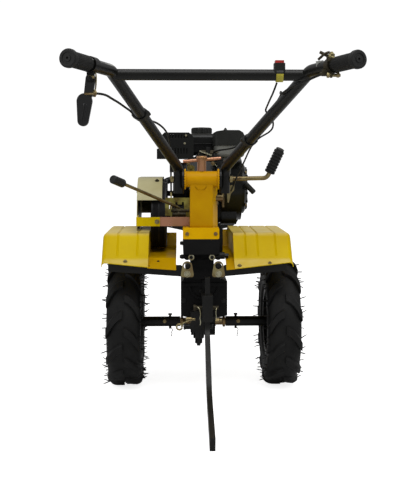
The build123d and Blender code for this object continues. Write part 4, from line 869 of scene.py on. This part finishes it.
def make_bolt_tree():
    tree, given, result = geometry_tree("bolts", [
        ("Height", "Float", 0.55), ("Washer", "Float", 0.85), ("Seed", "Int", 1),
        ("Material", "Material", None)])

    def cylinder(corners, radius, depth):
        sizes = {"Vertices": corners, "Radius": radius, "Depth": depth}
        return place(tree, "GeometryNodeMeshCylinder", sizes).outputs[0]

    head = place(tree, "GeometryNodeMeshCone", {
        "Vertices": 6, "Side Segments": 1, "Radius Top": FLAT_TOP, "Radius Bottom": HEX_CORNER,
        "Depth": HEAD_BEVEL}).outputs[0]
    top = moved(tree, head, Translation=vector_of(tree, z=given["Height"]))
    half = maths(tree, "MULTIPLY", given["Height"], 0.5)
    body = moved(tree, cylinder(6, HEX_CORNER, given["Height"]), Translation=vector_of(tree, z=half))
    bolt = together(tree, body, top, cylinder(24, given["Washer"], WASHER_DEPTH))
    facing = attribute(tree, "facing", "FLOAT_VECTOR")
    aim = place(tree, "FunctionNodeAlignRotationToVector", {"Vector": facing}, axis="Z").outputs[0]
    chance = random_value(tree, 0.0, tau, given["Seed"])
    spin = place(tree, "FunctionNodeAxisAngleToRotation", {"Axis": UP, "Angle": chance})
    turned = place(tree, "FunctionNodeRotateRotation", {0: aim, 1: spin.outputs[0]}, rotation_space="LOCAL")
    heads = copies_on(tree, given["Geometry"], bolt, Rotation=turned.outputs[0],
                      Scale=attribute(tree, "size", "FLOAT"))
    tree.links.new(finished(tree, heads, given["Material"]), result[0])
    return tree


BOLT_TREE = make_bolt_tree()


# %% Bolts on a seed mesh
def bolts(name, spots, slot="zinc_gold", body="chassis", height=0.55, washer=0.85, seed=1, look=None):
    """Bolt heads at (place, facing, width across flats in millimetres)."""
    seed_mesh = bpy.data.meshes.new(name + "_seed")
    seed_mesh.from_pydata([tuple(at(*spot[0])) for spot in spots], [], [])
    seed_mesh.attributes.new("facing", "FLOAT_VECTOR", "POINT").data.foreach_set(
        "vector", [value for spot in spots for value in Vector(spot[1]).normalized()])
    seed_mesh.attributes.new("size", "FLOAT", "POINT").data.foreach_set(
        "value", [spot[2] / 1000 for spot in spots])
    finish = FINISH[look or slot]
    mesh = grow(seed_mesh, BOLT_TREE, Height=height, Washer=washer, Seed=seed, Material=finish)
    put(name, mesh, finish, slot, body)
    print(name, len(spots), "bolts")


# %% [markdown]
# ## Small shapes
# Three ways of making a small part cover nearly everything that is bolted on: a profile
# turned about an axis (nuts' washers, springs' cups, caps), an outline given a thickness
# (tabs, ears, plates) and a wire bent through points (clips, rings, rods). Each returns a
# closed mesh, and `fit` joins the meshes of one finish on one body into one piece.

# %% Turned shapes
def turned(profile, start, along, segments=24):
    """A closed solid turned from (radius, height) points, the first and last on the axis or a ring."""
    # a matrix that takes +Z to the direction, at the start
    turn = Vector(along).normalized().to_track_quat("Z", "Y").to_matrix().to_4x4()
    matrix = Matrix.Translation(at(*start)) @ turn
    points, faces, rings = [], [], []
    for radius, height in profile:
        count = segments if radius else 1
        rings.append((len(points), count))
        for angle in (tau * k / segments for k in range(count)):
            points.append(matrix @ (Vector((radius * cos(angle), radius * sin(angle), height)) / 1000))
    pairs = list(zip(rings, rings[1:]))
    if profile[0][0] and profile[-1][0]:
        pairs.append((rings[-1], rings[0]))
    for (a, many_a), (b, many_b) in pairs:
        for k in range(segments):
            corners = [a + k % many_a, a + (k + 1) % many_a, b + (k + 1) % many_b, b + k % many_b]
            faces.append(tuple(dict.fromkeys(corners)))
    return mesh_of(points, faces)


def disc(radius, height, start, along, segments=24, edge=0.6):
    """A short round bar with softened edges."""
    profile = [(0, 0), (radius - edge, 0), (radius, edge), (radius, height - edge), (radius - edge, height),
               (0, height)]
    return turned(profile, start, along, segments)


def tube(outer, inner, height, start, along, segments=24):
    """A short length of tube."""
    return turned([(inner, 0), (outer, 0), (outer, height), (inner, height)], start, along, segments)


# %% Plates, wires and whole pieces
def plate(outline, start, across, up, thick):
    """An outline in two directions given a thickness, forward of its start."""
    across, up = Vector(across).normalized(), Vector(up).normalized()
    through = across.cross(up).normalized() * -thick
    base = at(*start)
    flat = [base + (across * a + up * b) / 1000 for a, b in outline]
    count = len(flat)
    points = flat + [point + through / 1000 for point in flat]
    faces = [tuple(range(count)), tuple(range(count, 2 * count))]
    faces += [(k, (k + 1) % count, (k + 1) % count + count, k + count) for k in range(count)]
    return mesh_of(points, faces)


def wire(radius, points):
    """A bent wire or rod with closed ends."""
    return faced_out(plain_mesh(route_curve("wire", points, radius / 1000)))


def fit(name, meshes, slot="zinc_gold", body="chassis", look=None):
    """One piece of several meshes, riding on a body. Most are zinc on the chassis."""
    whole = shaded_smooth(joined([(mesh, Matrix()) for mesh in meshes]))
    for face in whole.polygons:
        face.material_index = 0
    put(name, whole, FINISH[look or slot], slot, body)
    print(name, len(meshes), "shapes", len(whole.polygons), "faces")


# %% [markdown]
# ## Bolts of the chassis
# The column's foot is bolted to the gearbox, and the two bolts seen from behind are sunk in
# its flange. Two zinc lifting lugs hang from bolts below. The fenders are bolted through
# their lips to the bars. All of them are plain hexagon heads with washers.

# %% Bolts of the chassis
LIP = (0, -0.476, 0.879)
bolts("zinc_bolts", [
    ((107, -244.5, 421), LIP, 8), ((202, -233, 428), LIP, 7), ((-247, -223, 433), LIP, 8),
    ((45, 495, 484), BACK, 13), ((-45, 495, 484), BACK, 13),
    ((-150, -148.5, 551.5), BACK, 9)])
bolts("hub_screws", [((x, -16.7, 210), BACK, 7) for x in (118, -128)], body="axle_and_wheels", height=0.3)
bolts("flange_bolts", [((x, -203.6, 517), BACK, 11.5) for x in (-54.5, 34.5)],
      slot="axle_steel", height=0.3, washer=0.58, seed=4)
bolts("guard_top_bolt", [((-154, 9, 678), (0, -0.4, 0.92), 9)], look="dull_zinc")
bolts("lug_bolts", [
    ((-54.5, -232.5, 395), BACK, 13), ((42.5, -232.5, 395), BACK, 13), ((-56, 93.2, 834), BACK, 4.6),
    ((-60.5, 93.2, 806.8), BACK, 4.6)], washer=0.8, seed=2, look="bright_zinc")
bolts("black_bolts", [
    ((-71, -168, 485), LEFT, 10), ((-71, -168, 442), LEFT, 11), ((-145, -206, 431), LIP, 5),
    ((-172, -236, 418), LIP, 5), ((-10, -151, 330), BACK, 8), ((-66, -151, 300), BACK, 10),
    ((62, -151, 300), BACK, 10)], slot="black_steel", seed=7)


# %% Tube nuts, and the dark bars and boss round them, with a dark plate as painted shade
TUBE_NUTS, TUBE_NUTS_UP = (-41.7, 23.4), 443


def washer_tube(x):
    """A tubular nut, hollow at its end, where a dark disc goes in."""
    profile = [(0, -26), (9.6, -26), (9.6, 6.4), (8.8, 7.4), (6.2, 7.4), (5.6, 6.6), (5.6, 1), (0, 1)]
    return turned(profile, (x, -196, TUBE_NUTS_UP), BACK)


fit("tube_nuts", [washer_tube(x) for x in TUBE_NUTS], look="bright_zinc")
fit("dark_fittings_and_shade_plate", [
    *(disc(10, 60, (x, -160, 415), BACK) for x in (-51.5, 43.5)),
    disc(11, 34, (30, -188, 447), RIGHT), disc(7.5, 12, (64, -188, 447), RIGHT, 6),
    *(disc(5.2, 4, (x, -199, TUBE_NUTS_UP), BACK, 6) for x in TUBE_NUTS),
    disc(6, 14, (-73, -168, 485), RIGHT, 12), disc(7, 14, (-73, -168, 442), RIGHT, 12),
    disc(17, 34, (-18, -180, 187), UP), disc(11.5, 20, (-18, -180, 170), UP, 6),
    disc(6, 10, (-18, -180, 163), UP),
    disc(9, 18, (-61, -186, 224), RIGHT), disc(11, 6, (-66, -186, 224), RIGHT, 6),
    disc(7, 20, (3, -190, 224), RIGHT), disc(10, 6, (22, -190, 224), RIGHT, 6),
    # this black plate beside the gearbox is painted shade: a dark sheet that fills the shadowed gap between
    # the gearbox and the right fender
    plate([(42, 440), (62, 440), (62, 526), (42, 526)], (0, -100, 0), RIGHT, UP, 3)], slot="black_steel")


# %% [markdown]
# ## Clips, ring and pull wire
# The drawbar's pin and the two hub pins are kept by bent wire clips, and a spring plunger
# with a pull ring hangs at the left of the socket. These are wires two to five millimetres
# thick, so each is a bent rod through a few points.

# %% Clips and ring
def ring_points(centre, radius, across, up, turns=1.0, count=14):
    """Places round a circle."""
    across, up, centre = Vector(across), Vector(up), Vector(centre)
    steps = [tau * turns * k / count for k in range(count + 1)]
    return [tuple(centre + radius * (across * cos(step) + up * sin(step))) for step in steps]


def hub_clip(side):
    """The wire clip that dangles under a hub pin."""
    x = 110 * side
    return wire(1.1, [(x - 3, 0, 187), (x + 3, 0, 187), (x + 7, -4, 184), (x + 9, -6, 177), (x + 3, -6, 172),
                      (x + 8, -6, 167), (x + 2, -6, 160), (x + 7, -6, 158)])


fit("pin_clips", [hub_clip(-1), hub_clip(1)], body="axle_and_wheels", look="dull_zinc")
fit("pull_ring", [
    wire(2.7, ring_points((-79, -286, 241), 8.6, (1, 0, 0), (0, 0.35, 0.94), 0.97)),
    wire(1.8, [(-72, -286, 247), (-66, -287, 254), (-58, -288, 257), (-50, -284, 259), (-40, -280, 260)]),
    disc(7, 16, (-58, -272, 262), RIGHT), disc(4.2, 30, (-60, -272, 262), RIGHT),
    disc(5, 10, (42, -268, 257), RIGHT), disc(8, 12, (30, -268, 257), RIGHT, 6)])
fit("drawbar_clips", [
    wire(1.7, [(-30, -280, 304), (-20, -289, 300), (-16.3, -292, 292), (-14, -292, 278), (-17, -292, 268),
               (-13.5, -292, 256), (-16, -290, 247)]),
    wire(1.6, [(36, -280, 303), (33, -288, 296), (31, -291, 284), (33, -291, 272), (31, -290, 262)])],
    look="bright_zinc")


# %% [markdown]
# ## Axle collars
# Between gearbox and hub tubes the bare hexagon axle shows, with a zinc collar on each side.

# %% Axle collars
AXLE_UP = 207.5
fit("axle_collars", [tube(19, 13.2, 8, (x, 0, AXLE_UP), RIGHT) for x in (66, -74)],
    slot="axle_steel", body="axle_and_wheels")


# %% [markdown]
# ## Handlebar fittings
# Each side of the handlebar has a clamp with its own hardware. Left: a bracket, the hand
# lever's pivot, a band where the cable meets the bracket and a hooked rod down to the cable's
# ferrule. Right: a plate on the tube, a cluster of nuts on the throttle's friction post and
# two long bolts through a spacer.

# %% Fittings of the left clamp
bolts("lever_bolts", [((-292, -858, 942), BACK, 10), ((-292, -836, 942), FORE, 10)],
      slot="black_steel", body="handlebar", seed=3)
fit("left_fittings", [
    wire(1.8, [(-288, -846, 962), (-282, -846, 958), (-279, -846, 952), (-279, -846, 932), (-281, -847, 914),
               (-283, -847, 905)]),
    disc(5.6, 9, (-283, -849, 902), UP, 6), disc(3.4, 18, (-283, -847, 898), UP),
    disc(7, 5, (-284, -848, 907), (0.9, 0.3, -0.1), 16), disc(3, 24, (-306, -857, 905), RIGHT, 10),
    disc(4.2, 14, (-296, -858, 945), RIGHT, 12)], body="handlebar")
fit("blade_ridges", [
    wire(2.6, [(-306.7, -855, 882), (-307.5, -855.4, 876), (-310, -855.4, 858), (-312, -855.4, 846),
               (-312.5, -855, 838)]),
    wire(2.2, [(-299.7, -855, 880), (-300.4, -855.2, 874), (-302.4, -855.2, 858), (-303.8, -855.2, 846),
               (-304.3, -855, 840)])], slot="black_steel", body="handlebar", look="gloss_black")

# %% Fittings of the right clamp
fit("right_fittings", [
    disc(5.5, 12, (288, -857, 993), UP, 6), disc(8, 3, (288, -857, 1000), UP),
    disc(4, 20, (288, -857, 988), UP),
    disc(5, 22, (280, -859, 999), (1, 0, -0.55), 8), disc(7, 4, (296, -859, 990), (1, 0, -0.55), 8),
    disc(4, 34, (275, -858, 951), RIGHT, 12), disc(7, 6, (276, -858, 951), RIGHT, 6),
    disc(7.4, 6, (300, -858, 952), RIGHT, 6)], body="handlebar")
fit("right_dark", [
    wire(3.2, [(283, -857, 1007), (274, -857, 1005), (264, -856, 997), (256, -852, 989)]),
    disc(7, 5, (284, -858, 951), RIGHT, 6), disc(8, 9, (284, -857, 984), UP, 18),
    disc(5.5, 16, (272, -846, 957), (-0.3, 0.9, 0), 16)], slot="black_steel", body="handlebar",
    look="dull_zinc")
fit("right_plate", [
    plate([(-10, -8), (9, -8), (10, 7), (-9, 7)], (266, -812, 985), (0.9, -0.4, 0.1), (-0.1, 0.35, 0.93), 3)],
    slot="grey_plastic", body="handlebar")


# %% [markdown]
# ## Ribs in a row
# Fine ribs run round both hand grips. They are one ring repeated along a line, so one tree
# takes the ring, how many and how far apart.

# %% Tree: rings along a line
def make_row_tree():
    tree, given, result = geometry_tree("row", [
        ("Count", "Int", 10), ("Step", "Vector", None), ("Material", "Material", None)])
    spots = spots_of(tree, given["Count"], given["Step"])
    copies = copies_on(tree, spots, given["Geometry"])
    tree.links.new(finished(tree, copies, given["Material"]), result[0])
    return tree


ROW_TREE = make_row_tree()


# %% Grips
RIBS, RIB_STEP, FIRST_RIB = 17, 4.2, 20
# radius and height of a rib's section
RIB = [(18.2, -1.5), (18.97, -1.5), (19.3, 0), (18.97, 1.5), (18.2, 1.5)]
# outer radii of the three rings moulded in the end face
END_RINGS, RING_WIDTH, RING_DEPTH, RING_PROUD = (19.5, 13.5, 7.5), 2.4, 1.6, 1.2
for side in (-1, 1):
    inward = Vector((-81 * side, 202, -7)).normalized()
    end = Vector((333 * side, -954, 979))
    ribs = grow(turned(RIB, end + inward * FIRST_RIB, inward, 32), ROW_TREE, Count=RIBS,
                Step=inward * RIB_STEP / 1000, Material=FINISH["black_rubber"])
    rings = [tube(radius, radius - RING_WIDTH, RING_DEPTH, end - inward * RING_PROUD, inward)
             for radius in END_RINGS]
    fit("grip_ribs_" + ("left" if side < 0 else "right"), [ribs, *rings], slot="black_rubber",
        body="handlebar")

# %% [markdown]
# ## Repeats round an axis
# The fuel cap has grip ridges and the recoil cover has cooling slots. One tree turns any
# shape round a centre: it takes the shape, how many, a vector whose direction is the axis
# and whose length is the whole turn, and the centre. The wheels' nuts and the cover's screws
# stand in rings too, but they are bolts, so the bolt tree sets them.

# %% Tree: copies round an axis
def make_round_tree():
    tree, given, result = geometry_tree("round", [
        ("Count", "Int", 12), ("Turn", "Vector", None), ("Centre", "Vector", None),
        ("Material", "Material", None)])
    share = maths(tree, "DIVIDE", place(tree, "GeometryNodeInputIndex").outputs[0], given["Count"])
    turn = place(tree, "ShaderNodeVectorMath", {0: given["Turn"], "Scale": share}, operation="SCALE")
    copies = copies_on(tree, spots_of(tree, given["Count"]), given["Geometry"], Rotation=turn.outputs[0])
    copies = moved(tree, copies, Translation=given["Centre"])
    tree.links.new(finished(tree, copies, given["Material"]), result[0])
    return tree


ROUND_TREE = make_round_tree()


def round_copies(mesh, count, axis, centre, look):
    """Copies of a mesh, drawn round the world's origin, set round a centre in millimetres."""
    return grow(mesh, ROUND_TREE, Count=count, Turn=Vector(axis) * tau, Centre=at(*centre),
                Material=FINISH[look])


def local_bar(low, high, bevel=0.0004):
    """A small bar between two corners, in millimetres from the origin, with softened edges."""
    work = bmesh.new()
    bmesh.ops.create_cube(work, size=1)
    low, high = Vector(low) / 1000, Vector(high) / 1000
    for vertex in work.verts:
        vertex.co = Vector([a + (b - a) * (c + 0.5) for a, b, c in zip(low, high, vertex.co)])
    bmesh.ops.bevel(work, geom=work.edges, offset=bevel, segments=1, affect="EDGES")
    mesh = bpy.data.meshes.new("bar")
    work.to_mesh(mesh)
    work.free()
    return mesh


# %% Fuel cap ridges, recoil slots, wheel nuts
RECOIL_Y, RECOIL_Z = 300, 645
# radii of the rings of screws and nuts; the screws' ring is a little less high than wide
SCREW_CIRCLE, SCREW_HEIGHT_SHARE, NUT_CIRCLE = 93, 0.9, 36
fit("cap_ridges", [
    round_copies(local_bar((35.8, -1.8, 2), (38.9, 1.8, 18)), 20, UP, (4, 330, 848), "black_plastic"),
    turned([(0, 0), (15, 0), (14, 1.2), (0, 1.6)], (4, 330, 869.8), UP)], slot="black_plastic")
fit("recoil_slots", [
    round_copies(local_bar((-3, -3.2, 50), (1.2, 3.2, 78)), 14, RIGHT, (168.2, RECOIL_Y, RECOIL_Z),
                 "black_sheet"),
    disc(24, 2.2, (167.8, RECOIL_Y, RECOIL_Z), RIGHT, 40)], slot="black_sheet")
bolts("recoil_screws", [
    ((160.5, RECOIL_Y + SCREW_CIRCLE * cos(angle),
      RECOIL_Z + SCREW_CIRCLE * sin(angle) * SCREW_HEIGHT_SHARE), RIGHT, 8)
    for angle in map(radians, (45, 135, 225, 315))], seed=11)
for side, name, face in ((-1, "left", -251.2), (1, "right", 268.2)):
    bolts("wheel_nuts_" + name, [
        ((face, NUT_CIRCLE * sin(tau * k / 4), AXLE_UP + NUT_CIRCLE * cos(tau * k / 4)), (side, 0, 0), 14)
        for k in range(4)], body="axle_and_wheels", height=0.6, seed=5)

# %% [markdown]
# ## Engine hardware
# Between tank, air cleaner and cylinder head sits what makes the engine look like an engine:
# the carburettor with its bowl, the control plate with its springs and levers, the plug's
# boot and lead, the fuel hose and the screws of every cover.

# %% Springs
COIL_STEPS, HOOK = 8, 4


def spring(start, end, radius, thick, turns):
    """A coil spring between two places, with its hooks on the axis."""
    start, end = Vector(start), Vector(end)
    along = (end - start).normalized()
    across = along.orthogonal().normalized()
    other = along.cross(across)
    steps = int(turns * COIL_STEPS)
    line = [start - along * HOOK]
    for k in range(steps + 1):
        angle = tau * turns * k / steps
        line.append(start + (end - start) * k / steps + radius * (across * cos(angle) + other * sin(angle)))
    line.append(end + along * HOOK)
    return wire(thick, [tuple(point) for point in line])


# %% Carburettor and controls
fit("carburettor", [
    disc(17, 62, (46, 116, 735), FORE, 20), disc(20, 26, (46, 138, 700), UP, 24),
    disc(23, 4, (46, 116, 735), FORE, 24), disc(12, 22, (28, 132, 728), LEFT, 16),
    disc(6, 5, (46, 138, 697), UP, 6), disc(9, 34, (20, 96, 760), UP, 14),
    disc(15, 20, (-4, 108, 752), UP, 18), disc(14, 26, (60, 96, 718), UP, 14)], slot="engine_alloy")
fit("control_levers", [
    plate([(-22, -3), (26, -6), (40, -2), (40, 4), (20, 6), (-22, 5)], (16, 92, 778), RIGHT,
          (0, 0.3, 0.95), 2),
    plate([(-4, -20), (4, -20), (5, 18), (0, 22), (-5, 18)], (30, 88, 752), RIGHT, UP, 2),
    wire(1.2, [(30, 86, 736), (40, 84, 734), (52, 88, 742), (60, 100, 744)]),
    wire(1.1, [(-8, 90, 778), (-14, 84, 770), (-10, 84, 760), (-2, 92, 752)]),
    disc(4, 8, (30, 90, 752), BACK, 6), disc(4, 8, (44, 90, 779), BACK, 6)], look="dull_zinc")
fit("control_plate", [
    plate([(-34, 738), (72, 738), (72, 752), (60, 764), (-20, 764), (-34, 756)], (0, 90, 0), RIGHT, UP, 2.5)],
    slot="black_sheet")
fit("engine_springs", [
    spring((-6, 86, 778), (28, 84, 766), 3, 0.8, 9), spring((34, 84, 738), (56, 88, 724), 2.6, 0.7, 7)],
    look="bright_zinc")
fit("plug_lead", [
    disc(9, 30, (52, 62, 694), (0.2, 0.35, 0.9), 16), disc(6.5, 14, (52, 64, 686), (0.2, 0.35, 0.9), 16),
    wire(3.4, [(58, 72, 718), (66, 62, 728), (82, 64, 726), (96, 96, 712), (98, 150, 706), (92, 190, 712)])],
    slot="black_rubber")
fit("fuel_hose", [
    wire(3.6, [(10, 268, 770), (8, 246, 758), (14, 200, 744), (30, 160, 722), (36, 140, 716)])],
    slot="black_rubber")

# %% Cover screws
bolts("engine_screws", [
    ((x, 63.3, z), BACK, 8) for z in (672, 737) for x in (-48, 36)], seed=9)
bolts("base_bolts", [
    ((x, y, 521), UP, 13) for x in (-37.75, 37.75) for y in (219, 381)], slot="black_steel", seed=8)
bolts("guard_screws", [
    ((-219.2, y, z), LEFT, 9) for y, z in ((60, 470), (180, 520), (322, 588), (60, 640), (270, 664))],
    seed=6)

# %% Shift rod and its stop beside the gate
fit("shift_rod", [
    disc(7.5, 44, (-102, -108, 572), RIGHT), disc(10, 6, (-84, -108, 572), RIGHT, 20),
    disc(5, 60, (-106, -106, 584), RIGHT), disc(9, 5, (-96, -106, 584), RIGHT, 6)], look="dull_zinc")
fit("cable_stop", [
    plate([(-54, 700), (-30, 700), (-30, 727), (-38, 732), (-50, 732), (-54, 726)], (0, -118, 0),
          RIGHT, UP, 3),
    disc(5, 9, (-43, -119, 724), BACK, 6),
    wire(4, [(-44, -186, 655), (-43, -160, 672), (-42, -132, 690), (-42, -119, 706)])], look="olive_zinc")

# %% [markdown]
# ## Right side of the column
# The side lever turns in a zinc bracket with a tapered ear, and a return spring runs down
# beside the column to a hook.

# %% Side bracket and spring
fit("side_bracket", [
    plate([(0, 0), (25, 0), (24, -16), (13, -28), (7, -56), (3, -56), (1, -28)], (72, -152, 668),
          RIGHT, UP, 3),
    disc(8, 5, (84, -156, 658), FORE, 6), disc(10, 2, (84, -153, 658), FORE)])
fit("return_spring", [
    spring((36, -150, 648), (42, -150, 606), 4.2, 1.1, 9),
    wire(1.5, [(42, -150, 602), (40, -152, 596), (32, -152, 594), (20, -152, 596)]),
    wire(1.5, [(36, -150, 652), (40, -151, 660), (54, -152, 664), (76, -151, 662)]),
    disc(4.5, 22, (22, -152, 628), RIGHT, 6), disc(4.5, 24, (20, -152, 612), RIGHT, 12)],
    look="bright_zinc")

# %% [markdown]
# ## Floor and light
# A catalogue studio: floor and room are the same white, so that the machine stands in the
# open with only a faint shadow under it. A broad lamp hangs above and behind the camera and
# two more stand left and right to draw highlights along the tubes. The room itself gives
# only a little light, because black paint would mirror it and turn grey. The floor is
# white to the camera by a faint glow, and a plain pale grey to every other ray.

# %% Floor
FLOOR_REACH, FLOOR_GLOW = 14.0, 0.82


def make_floor():
    """A wide white square on the stage."""
    mesh = bpy.data.meshes.new("floor")
    corners = [(-1, -1), (1, -1), (1, 1), (-1, 1)]
    mesh.from_pydata([(x * FLOOR_REACH, y * FLOOR_REACH, 0) for x, y in corners], [], [(0, 1, 2, 3)])
    made = added("floor", mesh)
    white = bpy.data.materials.new("floor_white")
    white.use_nodes = True
    tree = white.node_tree
    seen = place(tree, "ShaderNodeLightPath").outputs["Is Camera Ray"]
    feed(tree, tree.nodes["Principled BSDF"], {
        "Base Color": (0.7, 0.7, 0.7, 1), "Roughness": 1.0, "Specular IOR Level": 0.0,
        "Emission Color": (1, 1, 1, 1), "Emission Strength": maths(tree, "MULTIPLY", seen, FLOOR_GLOW)})
    mesh.materials.append(white)
    print("floor", 2 * FLOOR_REACH, "m wide")


make_floor()


# %% Room and lamps
def make_room(lighting, seen):
    """A white room that lights softly and looks white to the camera."""
    world = bpy.data.worlds.new("room")
    bpy.context.scene.world = world
    world.use_nodes = True
    tree = world.node_tree
    looked_at = place(tree, "ShaderNodeLightPath").outputs["Is Camera Ray"]
    feed(tree, tree.nodes["Background"], {
        "Color": (1, 1, 1, 1), "Strength": ranged(tree, looked_at, 0.0, 1.0, lighting, seen)})


def softbox(name, place_at, aim, size, power):
    """A square lamp aimed at a point."""
    light = bpy.data.lights.new(name, "AREA")
    light.size = size
    light.energy = power
    made = added(name, light)
    made.location = place_at
    made.rotation_euler = (Vector(aim) - Vector(place_at)).to_track_quat("-Z", "Y").to_euler()
    print("lamp", name, power, "W")


make_room(0.5, 1.05)
softbox("overhead", at(300, -1400, 3200), at(0, 0, 500), 2.2, 60)
softbox("left", at(-2600, -2400, 2200), at(0, -200, 600), 1.4, 26)
softbox("right", at(2800, -1600, 1800), at(0, -200, 600), 1.2, 14)
